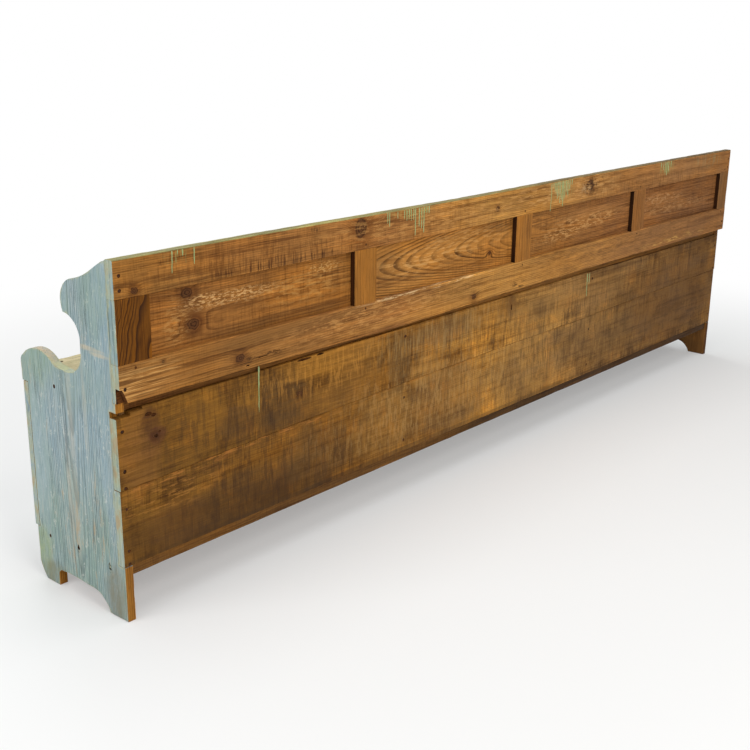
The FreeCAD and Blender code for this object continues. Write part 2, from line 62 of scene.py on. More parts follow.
def from_end(distance, z, y=None):
    """A place on the back, at a distance from the outer face of the sitter's left end."""
    if y is None:
        y = FRAME_FACE if z > FRAME_BOTTOM else BACK_PLANE
    return (END_X - distance, y, z)


SPOT_DEPTH = 0.02


def spots(rows, y=None):
    """Patches or scuffs on the back, from rows of a distance from the end, a height, half the
    width and height, a colour, a strength and, for scuffs, how fine they are each way."""
    return [(from_end(distance, z, y), (wide, SPOT_DEPTH, high), *look)
            for distance, z, wide, high, *look in rows]


def rgb(code):
    """A colour written as six hex digits, in linear light."""
    channels = [int(code[i:i + 2], 16) / 255 for i in (0, 2, 4)]
    return [c / 12.92 if c <= 0.04045 else ((c + 0.055) / 1.055) ** 2.4 for c in channels] + [1.0]


# Procedural materials

class Paint:
    """Builds one procedural material, node by node."""

    def __init__(self, name):
        self.material = bpy.data.materials.new(name)
        self.material.use_nodes = True
        self.nodes = self.material.node_tree.nodes
        self.links = self.material.node_tree.links
        self.nodes.clear()
        out = self.nodes.new("ShaderNodeOutputMaterial")
        self.shader = self.nodes.new("ShaderNodeBsdfPrincipled")
        self.links.new(self.shader.outputs[0], out.inputs["Surface"])
        self.place = self.nodes.new("ShaderNodeTexCoord").outputs["Object"]
        parts = self.nodes.new("ShaderNodeSeparateXYZ")
        self.links.new(self.place, parts.inputs[0])
        self.axes = dict(zip("xyz", parts.outputs))
        self.edge_socket = None

    def put(self, socket, value):
        if isinstance(value, bpy.types.NodeSocket):
            self.links.new(value, socket)
        else:
            socket.default_value = value

    def math(self, operation, a, b=0.0, clamp=False):
        node = self.nodes.new("ShaderNodeMath")
        node.operation = operation
        node.use_clamp = clamp
        self.put(node.inputs[0], a)
        self.put(node.inputs[1], b)
        return node.outputs[0]

    def add(self, *values):
        total = values[0]
        for value in values[1:]:
            total = self.math("ADD", total, value)
        return total

    def times(self, *values):
        total = values[0]
        for value in values[1:]:
            total = self.math("MULTIPLY", total, value)
        return total

    def span(self, value, low, high, out_low=0.0, out_high=1.0):
        """Takes a value from one range to another, smoothly, and holds it there outside."""
        node = self.nodes.new("ShaderNodeMapRange")
        node.interpolation_type = "SMOOTHSTEP"
        for socket, number in zip(node.inputs, (value, low, high, out_low, out_high)):
            self.put(socket, number)
        return node.outputs[0]

    def stretch(self, scale, offset=0.0):
        """The place, stretched by a scale on each axis and moved by an offset."""
        node = self.nodes.new("ShaderNodeMapping")
        self.links.new(self.place, node.inputs["Vector"])
        node.inputs["Scale"].default_value = scale
        node.inputs["Location"].default_value = (offset, 1.7 * offset, 2.3 * offset)
        return node.outputs[0]

    def noise(self, scale, offset=0.0, detail=3.0, roughness=0.55, twist=0.0):
        node = self.nodes.new("ShaderNodeTexNoise")
        self.links.new(self.stretch(scale, offset), node.inputs["Vector"])
        node.inputs["Scale"].default_value = 1.0
        node.inputs["Detail"].default_value = detail
        node.inputs["Roughness"].default_value = roughness
        node.inputs["Distortion"].default_value = twist
        return node.outputs[0]

    def mix(self, amount, a, b, mode="MIX"):
        node = self.nodes.new("ShaderNodeMix")
        node.data_type = "RGBA"
        node.blend_type = mode
        self.put(node.inputs[0], amount)
        self.put(node.inputs[6], a)
        self.put(node.inputs[7], b)
        return node.outputs[2]

    def shade(self, amount, color, factor):
        """Lightens or darkens a colour by a factor for each channel."""
        return self.mix(amount, color, factor, "MULTIPLY")

    def shade_where(self, color, value, low, high, amount, factor):
        """Shades a colour by up to an amount where a value goes from low to high."""
        return self.shade(self.span(value, low, high, 0.0, amount), color, factor)

    def cover_where(self, color, value, low, high, amount, code):
        """Covers a colour with another by up to an amount where a value goes from low to high."""
        return self.mix(self.span(value, low, high, 0.0, amount), color, rgb(code))

    def ramp(self, value, stops):
        if len(stops) == 1:
            return rgb(stops[0][1])
        node = self.nodes.new("ShaderNodeValToRGB")
        band = node.color_ramp
        while len(band.elements) < len(stops):
            band.elements.new(1.0)
        for element, (position, color) in zip(band.elements, stops):
            element.position = position
            element.color = rgb(color)
        self.put(node.inputs[0], value)
        return node.outputs[0]

    def edge(self):
        """Distance from the nearest edge of the board, in metres."""
        if self.edge_socket is None:
            node = self.nodes.new("ShaderNodeAttribute")
            node.attribute_name = "edge"
            self.edge_socket = node.outputs["Fac"]
        return self.edge_socket

    def spot(self, centre, radius, soft=0.5, ragged=0.35, offset=0.0):
        """A soft ellipse round a place, with a ragged rim."""
        away = self.nodes.new("ShaderNodeVectorMath")
        away.operation = "SUBTRACT"
        self.links.new(self.place, away.inputs[0])
        away.inputs[1].default_value = centre
        shrunk = self.nodes.new("ShaderNodeVectorMath")
        shrunk.operation = "DIVIDE"
        self.links.new(away.outputs[0], shrunk.inputs[0])
        shrunk.inputs[1].default_value = radius
        size = self.nodes.new("ShaderNodeVectorMath")
        size.operation = "LENGTH"
        self.links.new(shrunk.outputs[0], size.inputs[0])
        distance = size.outputs["Value"]
        if ragged:
            reach = min(radius)
            rough = self.noise((1.6 / radius[0], 1.6 / radius[1], 1.6 / radius[2]), offset + 40 * reach)
            distance = self.add(distance, self.times(self.add(rough, -0.5), 2 * ragged))
        return self.span(distance, 1.0 - soft, 1.0 + soft, 1.0, 0.0)

    def rings(self, grain):
        """How dark the growth rings are, on a board cut from a log with its pith on a line."""
        along = self.axes[grain.axis]
        across = self.axes[grain.across]
        depth = self.axes[grain.depth]
        slow_scale = {grain.axis: 1.1, grain.across: 2.6, grain.depth: 2.6}
        quick_scale = {grain.axis: grain.ripple, grain.across: 26.0, grain.depth: 26.0}
        slow = self.noise([slow_scale[a] for a in "xyz"], grain.seed, 1.5)
        quick = self.noise([quick_scale[a] for a in "xyz"], grain.seed + 5.0, 2.0)
        across = self.add(across, -grain.pith[0], self.times(self.add(slow, -0.5), 2 * grain.drift))
        across = self.add(across, self.times(self.add(quick, -0.5), 2 * grain.waviness))
        across = self.add(across, self.times(along, grain.slope))
        depth = self.add(depth, -grain.pith[1], self.times(along, grain.taper))
        radius = self.math("SQRT", self.add(self.times(across, across), self.times(depth, depth)))
        for place, size, stretch in grain.knots:
            bulge = self.knot_bulge(grain, place, size, 1.3 * stretch)
            radius = self.add(radius, self.times(bulge, 1.1 * size))
        count = self.add(self.times(radius, 1 / grain.spacing), self.times(slow, 2.5))
        ring = self.math("FRACT", count)
        varied = self.nodes.new("ShaderNodeTexWhiteNoise")
        varied.noise_dimensions = "1D"
        self.links.new(self.math("FLOOR", count), varied.inputs["W"])
        late = self.times(self.span(ring, 0.35, 0.88), self.span(ring, 0.93, 1.0, 1.0, 0.0))
        return self.times(late, self.span(varied.outputs["Value"], 0.0, 1.0, 0.35, 1.0))

    def knot_distance(self, grain, place, size, stretch):
        """How far from a knot, counted in its own radii, with the grain's stretch."""
        centre = dict(zip("xyz", place))
        total = 0.0
        for axis, factor in ((grain.axis, stretch), (grain.across, 1.0)):
            part = self.times(self.add(self.axes[axis], -centre[axis]), 1 / (size * factor))
            total = self.add(total, self.times(part, part))
        return total

    def knot_bulge(self, grain, place, size, stretch):
        square = self.times(self.knot_distance(grain, place, 1.7 * size, stretch), -1.0)
        return self.math("POWER", math.e, square)

    def finish(self, color, roughness, height=None, depth=0.0006, specular=0.3):
        self.put(self.shader.inputs["Base Color"], color)
        self.put(self.shader.inputs["Roughness"], roughness)
        self.shader.inputs["Specular IOR Level"].default_value = specular
        if height is not None:
            bump = self.nodes.new("ShaderNodeBump")
            bump.inputs["Strength"].default_value = 1.0
            bump.inputs["Distance"].default_value = depth
            self.links.new(height, bump.inputs["Height"])
            self.links.new(bump.outputs[0], self.shader.inputs["Normal"])
        return self.material


class Grain:
    """How one board was cut: the direction of its grain, and the log's pith beside it."""

    def __init__(self, axis="x", face="y", pith=(0.0, 0.0), spacing=0.0042, drift=0.012,
                 waviness=0.0015, ripple=7.0, slope=0.0, taper=0.0, seed=0.0, knots=()):
        self.axis = axis
        self.depth = face
        self.across = next(a for a in "xyz" if a not in (axis, face))
        self.pith = pith
        self.spacing = spacing
        self.drift = drift
        self.waviness = waviness
        self.ripple = ripple
        self.slope = slope
        self.taper = taper
        self.seed = seed
        self.knots = knots

    def scale(self, along, across):
        sizes = {self.axis: along, self.across: across, self.depth: across}
        return [sizes[a] for a in "xyz"]


def add_knots(paint, grain, color, light="54341c", dark="241207"):
    """Dark knots with torn rims and their own small rings."""
    for number, (place, size, stretch) in enumerate(grain.knots):
        rough = paint.noise((0.9 / size,) * 3, grain.seed + number, 4.0, 0.7)
        distance = paint.math("SQRT", paint.knot_distance(grain, place, size, stretch))
        distance = paint.add(distance, paint.times(paint.add(rough, -0.5), 1.2 if size < 0.015 else 0.6))
        wood = paint.mix(paint.span(paint.math("FRACT", paint.times(distance, 2.3)), 0.4, 0.9),
                         rgb(light), rgb(dark))
        color = paint.shade(paint.span(distance, 1.0, 2.6, 0.75, 0.0), color, (0.55, 0.47, 0.42, 1.0))
        color = paint.mix(paint.span(distance, 0.70, 1.10, 0.92, 0.0), color, wood)
    return color


DARKER = (0.50, 0.43, 0.36, 1.0)
LIGHTER = (1.55, 1.50, 1.38, 1.0)


def pine(name, grain, tones, late="4f2c11", contrast=0.55, saw=0.0, grime=0.5, patches=(), fibre=1.0,
         worn=0.5, ends=(END_X, -END_X), scuffs=(), blotch=0.0, fine=1.0, rim=0.5):
    """Bare aged pine. tones are the early wood's colours along the bench. worn sets how much the arrises are
    lightened, as wear and as a painted highlight.
    """
    paint = Paint(name)
    late_wood = paint.rings(grain)
    along = paint.span(paint.axes["x"], ends[0], ends[1])
    wobble = paint.noise(grain.scale(2.2, 9.0), grain.seed + 2.0, 3.0)
    along = paint.add(along, paint.times(paint.add(wobble, -0.5), 0.35))
    color = paint.ramp(along, [(i / max(len(tones) - 1, 1), tone) for i, tone in enumerate(tones)])
    cloud = paint.noise(grain.scale(4.2, 12.0), grain.seed + 9.0, 5.0, 0.62)
    color = paint.shade_where(color, cloud, 0.44, 0.66, 0.55, (1.28, 1.16, 0.90, 1.0))
    color = paint.shade_where(color, cloud, 0.48, 0.30, 0.5, (0.72, 0.70, 0.70, 1.0))
    streak = paint.noise(grain.scale(3.2, 100.0 * fine), grain.seed + 4.0, 6.0, 0.70)
    fibres = paint.noise(grain.scale(24.0, 430.0), grain.seed + 3.0, 4.0, 0.65)
    color = paint.mix(paint.times(late_wood, contrast), color, rgb(late))
    color = paint.shade_where(color, streak, 0.50, 0.66, 0.85 * fibre, DARKER)
    color = paint.shade_where(color, streak, 0.49, 0.33, 0.70 * fibre, LIGHTER)
    color = paint.shade_where(color, fibres, 0.52, 0.68, 0.70 * fibre, DARKER)
    color = paint.shade_where(color, fibres, 0.46, 0.32, 0.55 * fibre, LIGHTER)
    height = paint.add(paint.times(late_wood, 0.35), paint.times(fibres, 0.35), paint.times(streak, 0.45))
    if blotch:
        stain = paint.noise((11.0, 11.0, 11.0), grain.seed + 19.0, 7.0, 0.68)
        color = paint.shade_where(color, stain, 0.50, 0.62, blotch, (0.60, 0.57, 0.56, 1.0))
        color = paint.shade_where(color, stain, 0.47, 0.36, blotch, (1.38, 1.28, 1.08, 1.0))
    if saw:
        kerf = paint.noise(grain.scale(240.0, 20.0), grain.seed + 6.0, 4.0, 0.65)
        broad = paint.noise(grain.scale(34.0, 4.0), grain.seed + 7.0, 5.0, 0.68)
        where = paint.span(paint.noise(grain.scale(2.6, 6.0), grain.seed + 8.0, 2.0), 0.36, 0.60, 0.25, 1.0)
        color = paint.shade(paint.times(paint.span(kerf, 0.50, 0.66), where, 0.9 * saw), color, DARKER)
        color = paint.shade(paint.times(paint.span(kerf, 0.46, 0.34), where, 0.6 * saw), color, LIGHTER)
        color = paint.shade(paint.times(paint.span(broad, 0.50, 0.66), where, 0.75 * saw), color,
                            (0.56, 0.52, 0.50, 1.0))
        height = paint.add(height, paint.times(kerf, 0.6 * saw), paint.times(broad, 0.25 * saw))
    dirt = paint.noise(grain.scale(3.1, 7.0), grain.seed + 12.0, 5.0, 0.62)
    color = paint.shade_where(color, dirt, 0.50, 0.70, 0.8 * grime, (0.48, 0.46, 0.50, 1.0))
    specks = paint.noise((190.0, 190.0, 190.0), grain.seed, 2.0, 0.5)
    color = paint.cover_where(color, specks, 0.70, 0.76, 0.8 * grime, "20120a")
    for centre, radius, patch, strength in patches:
        broken = paint.span(paint.add(paint.times(streak, 0.6), paint.times(fibres, 0.4)),
                            0.38, 0.56, 1.0, 0.45)
        where = paint.times(paint.spot(centre, radius, rim, offset=grain.seed), strength, broken)
        color = paint.mix(where, color, rgb(patch))
    color = add_knots(paint, grain, color)
    for centre, radius, patch, strength, length, width in scuffs:
        flecks = paint.noise(grain.scale(length, width), grain.seed + 17.0, 4.0, 0.7)
        where = paint.times(paint.spot(centre, radius, 0.6, 0.5, grain.seed), paint.span(flecks, 0.50, 0.58))
        color = paint.mix(paint.times(where, strength), color, rgb(patch))
    # Lighter along every arris: rubbed wear, and a painted highlight where the edges catch the light.
    rub = paint.noise(grain.scale(18.0, 60.0), grain.seed + 14.0, 4.0, 0.65)
    rubbed_and_highlit = paint.times(paint.span(paint.edge(), 0.0004, 0.0030, 1.0, 0.0),
                         paint.span(rub, 0.48, 0.62, 0.0, worn))
    color = paint.shade(rubbed_and_highlit, color, (1.45, 1.40, 1.30, 1.0))
    color = paint.shade(1.0, color, (1.04, 1.0, 0.86, 1.0))
    roughness = paint.span(cloud, 0.3, 0.7, 0.66, 0.88)
    return paint.finish(color, roughness, height, 0.0006, 0.12)


def milk_paint(name, grain, seed, patches=(), wear=1.0, blue="93a8b2", green="8ca197", pale="b3bab4",
               wood="a8906c", dark="6f8489", haze="9aa8a8", chalk="c6cac2", lines="5d6d6b"):
    """Old blue-green milk paint, worn through in streaks along the grain."""
    paint = Paint(name)
    late_wood = paint.rings(grain)
    broad = paint.noise(grain.scale(1.7, 8.0), seed, 5.0, 0.62)
    streak = paint.noise(grain.scale(8.0, 62.0), seed + 2.0, 7.0, 0.76)
    fine = paint.noise(grain.scale(26.0, 300.0), seed + 4.0, 5.0, 0.70)
    flake = paint.noise(grain.scale(45.0, 90.0), seed + 8.0, 6.0, 0.74)
    cloud = paint.noise((5.0, 5.0, 3.5), seed + 6.0, 5.0, 0.6)
    color = paint.mix(paint.span(broad, 0.38, 0.60), rgb(blue), rgb(green))
    color = paint.cover_where(color, cloud, 0.42, 0.66, 0.55, haze)
    color = paint.cover_where(color, streak, 0.50, 0.64, 0.42, pale)
    color = paint.cover_where(color, streak, 0.47, 0.33, 0.46, dark)
    color = paint.cover_where(color, fine, 0.51, 0.65, 0.46, chalk)
    color = paint.cover_where(color, fine, 0.47, 0.36, 0.52, dark)
    color = paint.mix(paint.times(late_wood, 0.72), color, rgb(lines))
    color = paint.cover_where(color, flake, 0.585, 0.64, 0.60 * wear, chalk)
    color = paint.cover_where(color, flake, 0.42, 0.36, 0.45, dark)
    thin = paint.add(paint.times(streak, 0.40), paint.times(broad, 0.25), paint.times(fine, 0.20),
                     paint.times(flake, 0.15))
    through = paint.span(thin, 0.535, 0.60, 0.0, 0.75 * wear)
    color = paint.mix(through, color, rgb(wood))
    for centre, radius, patch, strength in patches:
        broken = paint.span(paint.add(paint.times(streak, 0.5), paint.times(flake, 0.5)),
                            0.40, 0.56, 0.5, 1.0)
        where = paint.times(paint.spot(centre, radius, offset=seed), strength, broken)
        color = paint.mix(where, color, rgb(patch))
    rub = paint.noise(grain.scale(16.0, 34.0), seed + 14.0, 5.0, 0.68)
    edge = paint.add(paint.edge(), paint.times(paint.add(rub, -0.5), 0.030))
    color = paint.mix(paint.span(edge, -0.001, 0.0035, 0.60, 0.0), color, rgb("aeb08e"))
    color = paint.mix(paint.span(edge, -0.0045, -0.0005, 0.75, 0.0), color, rgb(wood))
    cracks = paint.noise(grain.scale(1.8, 120.0), seed + 21.0, 3.0)
    line = paint.math("ABSOLUTE", paint.add(cracks, -0.5))
    broken = paint.span(paint.noise(grain.scale(7.0, 20.0), seed + 23.0, 2.0), 0.48, 0.60)
    crack = paint.times(paint.span(line, 0.003, 0.009, 1.0, 0.0), broken)
    color = paint.mix(paint.times(crack, 0.75), color, rgb("38423f"))
    specks = paint.noise((170.0, 170.0, 110.0), seed, 3.0, 0.6)
    color = paint.cover_where(color, specks, 0.69, 0.76, 0.7, "4c5650")
    height = paint.add(paint.times(late_wood, 0.3), paint.times(fine, 0.4), paint.times(streak, 0.35))
    height = paint.add(height, paint.times(through, -0.35), paint.times(crack, -0.6))
    roughness = paint.span(streak, 0.3, 0.7, 0.6, 0.85)
    return paint.finish(color, roughness, height, 0.0006, 0.2)


def iron(name, rust="4a2a18", dark="1b1512"):
    """Dark wrought iron with rust."""
    paint = Paint(name)
    blotch = paint.noise((180.0, 180.0, 180.0), 3.0, 5.0, 0.65)
    pits = paint.noise((900.0, 900.0, 900.0), 6.0, 2.0)
    color = paint.ramp(blotch, [(0.35, dark), (0.62, rust), (0.8, "7a4a28")])
    height = paint.add(paint.times(blotch, 0.6), paint.times(pits, 0.4))
    paint.shader.inputs["Metallic"].default_value = 0.35
    return paint.finish(color, paint.span(blotch, 0.3, 0.7, 0.5, 0.9), height, 0.0004)


def torn_wood(name, light, dark):
    """Raw wood in a hole, a chip or a break, darkened to near black: dirt, and painted shade for the shade
    deep inside.
    """
    paint = Paint(name)
    fibres = paint.noise((60.0, 500.0, 500.0), 2.0, 4.0, 0.65)
    cloud = paint.noise((60.0, 60.0, 60.0), 8.0, 3.0)
    color = paint.ramp(fibres, [(0.3, dark), (0.62, light)])
    color = paint.cover_where(color, cloud, 0.4, 0.65, 0.7, dark)
    return paint.finish(color, 0.9, fibres, 0.001, 0.1)


def green_drip(name):
    """Runs of pale green paint."""
    paint = Paint(name)
    cloud = paint.noise((90.0, 90.0, 40.0), 4.0, 4.0)
    color = paint.ramp(cloud, [(0.3, "7e9158"), (0.7, "a3b27c")])
    return paint.finish(color, 0.5, cloud, 0.0003, 0.4)


# Geometry

def finished(mesh, name):
    """Makes an object of the scene from a mesh."""
    data = bpy.data.meshes.new(name)
    mesh.to_mesh(data)
    mesh.free()
    piece = bpy.data.objects.new(name, data)
    bpy.context.scene.collection.objects.link(piece)
    return piece


def skin(mesh, rings):
    """Puts faces between rings of corners and over both ends."""
    for first, second in zip(rings[:-1], rings[1:]):
        for i in range(len(first)):
            j = (i + 1) % len(first)
            mesh.faces.new((first[i], first[j], second[j], second[i]))
    mesh.faces.new(rings[0])
    mesh.faces.new(rings[-1])


def jitter(place, size, seed):
    """Smooth noise between about -1 and 1 at a place, with features of a size."""
    return noise.noise(Vector(place) / size + Vector((seed * 7.31, seed * 3.17, seed * 5.03)))


def sag(x, z):
    """How far the long back frame hangs down at a place: its foot more than its top."""
    distance = END_X - x
    share = min(max((z - FRAME_BOTTOM) / (BENCH_TOP - FRAME_BOTTOM), 0.0), 1.0)
    top = -0.0032 * math.exp(-((distance - 1.02) / 0.42) ** 2)
    foot = -0.0066 * math.exp(-((distance - 0.80) / 0.40) ** 2)
    return foot + (top - foot) * share


class Section:
    """Points round a board's cross-section. Each is a share of the width and the height, an
    offset from there, an outward direction, a distance from the nearest arris and, on an
    arris, the direction in which wear takes it away."""

    def __init__(self, width, height, radii, step):
        self.points = []
        self.smallest = min(radii)
        corners = ((0, 0), (1, 0), (1, 1), (0, 1))
        sizes = (width, height, width, height)
        for side, (u, v) in enumerate(corners):
            radius = radii[side]
            turn = max(2, int(2 + radius / 0.0015))
            centre = (radius * (1 - 2 * u), radius * (1 - 2 * v))
            start = math.pi * (1 + side / 2)
            worn = (math.cos(start + math.pi / 4), math.sin(start + math.pi / 4))
            for i in range(turn + 1):
                angle = start + math.pi / 2 * i / turn
                out = (math.cos(angle), math.sin(angle))
                offset = (centre[0] + radius * out[0], centre[1] + radius * out[1])
                self.points.append((u, v, offset, out, 0.0, worn))
            following = radii[(side + 1) % 4]
            clear = sizes[side] - radius - following
            inner = self.spread(clear, step)
            along = ((1, 0), (0, 1), (-1, 0), (0, -1))[side]
            out = (along[1], -along[0])
            for distance in inner:
                share = (radius + distance) / sizes[side]
                place = (u + along[0] * share, v + along[1] * share)
                self.points.append((place[0], place[1], (0.0, 0.0), out,
                                    min(distance, clear - distance), out))

    @staticmethod
    def spread(clear, step):
        """Places along a face, closer together near its arrises."""
        if clear < 0.004:
            return []
        near = [d for d in (0.0025, 0.007) if d < clear / 2 - 0.001]
        middle = clear - 2 * (near[-1] if near else 0)
        count = max(1, round(middle / step))
        start = near[-1] if near else 0.0
        inner = [start + middle * i / count for i in range(0 if near else 1, count + (1 if near else 0))]
        return sorted(set(near[:-1] + inner + [clear - d for d in near[:-1]]))


def stations(start, end, step, extra=(), radius=0.001):
    """Places along a board, with closer ones where its ends are rounded."""
    count = max(1, round((end - start - 2 * radius) / step))
    inner = [start + radius + (end - start - 2 * radius) * i / count for i in range(count + 1)]
    return sorted(set([start, start + 0.3 * radius, end - 0.3 * radius, end] + inner + list(extra)))


# How far old faces wave, and how much dents and nicks take off an arris, in metres
SLOW_WAVE = 0.00035
QUICK_WAVE = 0.0002
DENT_LOSS = 0.0014
NICK_LOSS = 0.0030


def loft(name, low, high, axis, section, places, radius, shape, wear, seed):
    """A board as rings round its cross-section. shape moves a ring point."""
    cross = [a for a in range(3) if a != axis]
    if axis == 1:
        cross.reverse()
    mesh = bmesh.new()
    edge = mesh.verts.layers.float.new("edge")
    rings = []
    for t in places:
        end_distance = min(t - low[axis], high[axis] - t)
        inset = max(0.0, radius - math.sqrt(max(0.0, radius ** 2 - max(0.0, radius - end_distance) ** 2)))
        inset *= 0.42 * min(1.0, section.smallest / radius)
        ring = []
        for u, v, offset, out, arris, worn in section.points:
            place = [0.0, 0.0, 0.0]
            place[axis] = t
            for i, share, shift, way in zip(cross, (u, v), offset, out):
                place[i] = low[i] + (high[i] - low[i]) * share + shift - way * inset
            inward = SLOW_WAVE * jitter(place, 0.11, seed) + QUICK_WAVE * jitter(place, 0.02, seed + 1)
            inward = min(inward + SLOW_WAVE, 0.42 * section.smallest)
            loss = 0.0
            if arris == 0.0:
                corner = [low[i] if abs(place[i] - low[i]) < 0.01 else high[i] for i in cross]
                spot = list(place)
                spot[cross[0]], spot[cross[1]] = corner
                dent = max(0.0, jitter(spot, 0.035, seed + 2) - 0.05)
                nick = max(0.0, jitter(spot, 0.009, seed + 3) - 0.30)
                loss = wear * (DENT_LOSS * dent + NICK_LOSS * nick * nick)
            place[cross[0]] -= out[0] * inward + worn[0] * loss
            place[cross[1]] -= out[1] * inward + worn[1] * loss
            if shape:
                place = shape(place)
            vert = mesh.verts.new(place)
            vert[edge] = min(arris, end_distance)
            ring.append(vert)
        rings.append(ring)
    skin(mesh, rings)
    face_outwards(mesh)
    return finished(mesh, name)


def face_outwards(mesh):
    """Turns every face of a closed mesh outwards."""
    bmesh.ops.recalc_face_normals(mesh, faces=mesh.faces)
    if mesh.calc_volume(signed=True) < 0:
        bmesh.ops.reverse_faces(mesh, faces=mesh.faces)


def dress(piece, materials, pick=None):
    """Gives a piece its materials. pick chooses one for a face by its centre and normal."""
    piece.data.materials.clear()
    for material in materials:
        piece.data.materials.append(material)
    for face in piece.data.polygons:
        face.use_smooth = True
        face.material_index = pick(face.center, face.normal) if pick else 0


def smooth_by_angle(piece, degrees=32.0):
    """Keeps crisp edges sharp in the shading."""
    limit = math.radians(degrees)
    mesh = bmesh.new()
    mesh.from_mesh(piece.data)
    for e in mesh.edges:
        e.smooth = not (len(e.link_faces) == 2 and e.calc_face_angle(0.0) > limit)
    mesh.to_mesh(piece.data)
    mesh.free()


def seat_on(piece, node):
    """Puts a piece on the body of the node that it stands for."""
    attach(piece, NODE_BODY[node])
    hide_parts(node)


def is_closed(data):
    """Whether every edge of a mesh has exactly two faces."""
    mesh = bmesh.new()
    mesh.from_mesh(data)
    closed = all(len(e.link_faces) == 2 for e in mesh.edges)
    mesh.free()
    return closed


def without(piece, cutters):
    """The mesh that is left of a piece when other meshes are cut out of it."""
    joined = bmesh.new()
    for cutter in cutters:
        joined.from_mesh(cutter.data)
    tool = finished(joined, piece.name + "_tool")
    for material in cutters[0].data.materials:
        tool.data.materials.append(material)
    cut = piece.modifiers.new("cut", "BOOLEAN")
    cut.operation = "DIFFERENCE"
    cut.solver = "MANIFOLD"
    cut.material_mode = "TRANSFER"
    cut.object = tool
    graph = bpy.context.evaluated_depsgraph_get()
    result = bpy.data.meshes.new_from_object(piece.evaluated_get(graph))
    piece.modifiers.clear()
    bpy.data.objects.remove(tool)
    return result


def carve(piece, cutters):
    """Cuts other meshes out of a piece. The cut faces keep the cutters' material. Where they
    can't all be cut at once, they are cut one by one, and one that would tear the mesh is
    left out."""
    if not cutters:
        return
    result = without(piece, cutters)
    if is_closed(result):
        piece.data = result
    else:
        for cutter in cutters:
            result = without(piece, [cutter])
            if is_closed(result):
                piece.data = result
    for cutter in cutters:
        bpy.data.objects.remove(cutter)


def lump(name, centre, size, seed, roughness=0.25, detail=2, material=None):
    """An irregular rounded solid, used to hollow out holes, knots and chips."""
    mesh = bmesh.new()
    bmesh.ops.create_icosphere(mesh, subdivisions=detail, radius=1.0)
    for vert in mesh.verts:
        swell = 1.0 + roughness * jitter(vert.co, 0.7, seed)
        vert.co = Vector(centre) + Vector([vert.co[i] * swell * size[i] for i in range(3)])
    piece = finished(mesh, name)
    if material:
        piece.data.materials.append(material)
    return piece


def wedge(name, outline, depth_range, seed, material, step=0.004, rough=0.0012):
    """A rough prism: an outline of (x, z) places carried through a range of y."""
    mesh = bmesh.new()
    y0, y1 = depth_range
    layers = [[mesh.verts.new((x, y, z)) for x, z in outline] for y in (y0, y1)]
    skin(mesh, layers)
    bmesh.ops.recalc_face_normals(mesh, faces=mesh.faces)
    bmesh.ops.triangulate(mesh, faces=mesh.faces)
    while max(e.calc_length() for e in mesh.edges) > 2.5 * step:
        long_edges = [e for e in mesh.edges if e.calc_length() > 2 * step]
        bmesh.ops.subdivide_edges(mesh, edges=long_edges, cuts=1)
        bmesh.ops.triangulate(mesh, faces=mesh.faces)
    for vert in mesh.verts:
        shift = [jitter(vert.co, 0.007, seed + i) * rough for i in range(3)]
        vert.co += Vector(shift)
    piece = finished(mesh, name)
    piece.data.materials.append(material)
    return piece


def solids_of(node):
    """The corner points of each separate solid of a CAD node."""
    mesh = bmesh.new()
    mesh.from_mesh(frame["nodes"][node].data)
    bmesh.ops.remove_doubles(mesh, verts=mesh.verts, dist=1e-5)
    groups = []
    waiting = set(mesh.verts)
    while waiting:
        first = min(waiting, key=lambda v: v.index)
        group, waiting_here = {first}, [first]
        while waiting_here:
            vert = waiting_here.pop()
            for link in vert.link_edges:
                other = link.other_vert(vert)
                if other not in group:
                    group.add(other)
                    waiting_here.append(other)
        waiting -= group
        groups.append([v.co.copy() for v in sorted(group, key=lambda v: v.index)])
    mesh.free()
    return groups


def driven(points):
    """Where a nail's or peg's head lies and which way it was driven, from its corner points."""
    low = Vector([min(p[i] for p in points) for i in range(3)])
    high = Vector([max(p[i] for p in points) for i in range(3)])
    size = high - low
    axis = max(range(3), key=lambda i: size[i])
    across = (axis + 1) % 3
    widths = []
    for end in (low[axis], high[axis]):
        near = [p[across] for p in points if abs(p[axis] - end) < 1e-4]
        widths.append(max(near) - min(near))
    head = (low + high) / 2
    direction = Vector((0, 0, 0))
    at_low = widths[0] > widths[1] + 1e-4
    head[axis] = low[axis] if at_low else high[axis]
    direction[axis] = 1.0 if at_low else -1.0
    return head, direction, size[axis]


def hangs(place):
    """Whether a place is on the back frame, which sags."""
    return place.z > FRAME_BOTTOM and place.y > BACK_PLANE - 0.001


def nail_mesh(mesh, head, direction, length, seed, sunk=0.0011):
    """An old cut nail with an uneven hammered head, let in below the surface."""
    turn = direction.to_track_quat("Z", "Y").to_matrix()
    drop = Vector((0, 0, sag(head.x, head.z))) if hangs(head) else Vector((0, 0, 0))
    # Radius, distance below the top of the head, and how uneven it is there
    profile = [(0.0008, 0.0, 0.0), (0.0022, 0.0003, 1.0), (0.0030, 0.0008, 1.0), (0.0028, 0.0014, 1.0),
               (0.0016, 0.0019, 0.5), (0.0015, 0.010, 0.0), (0.0008, length - sunk, 0.0)]
    sides = 10
    rings = []
    for radius, down, uneven in profile:
        ring = []
        for i in range(sides):
            angle = 2 * math.pi * i / sides
            out = radius * (1 + 0.14 * uneven * jitter((math.cos(angle), math.sin(angle), seed), 0.9, seed))
            local = Vector((out * math.cos(angle), out * math.sin(angle), sunk + down))
            ring.append(mesh.verts.new(head + turn @ local + drop))
        rings.append(ring)
    skin(mesh, rings)


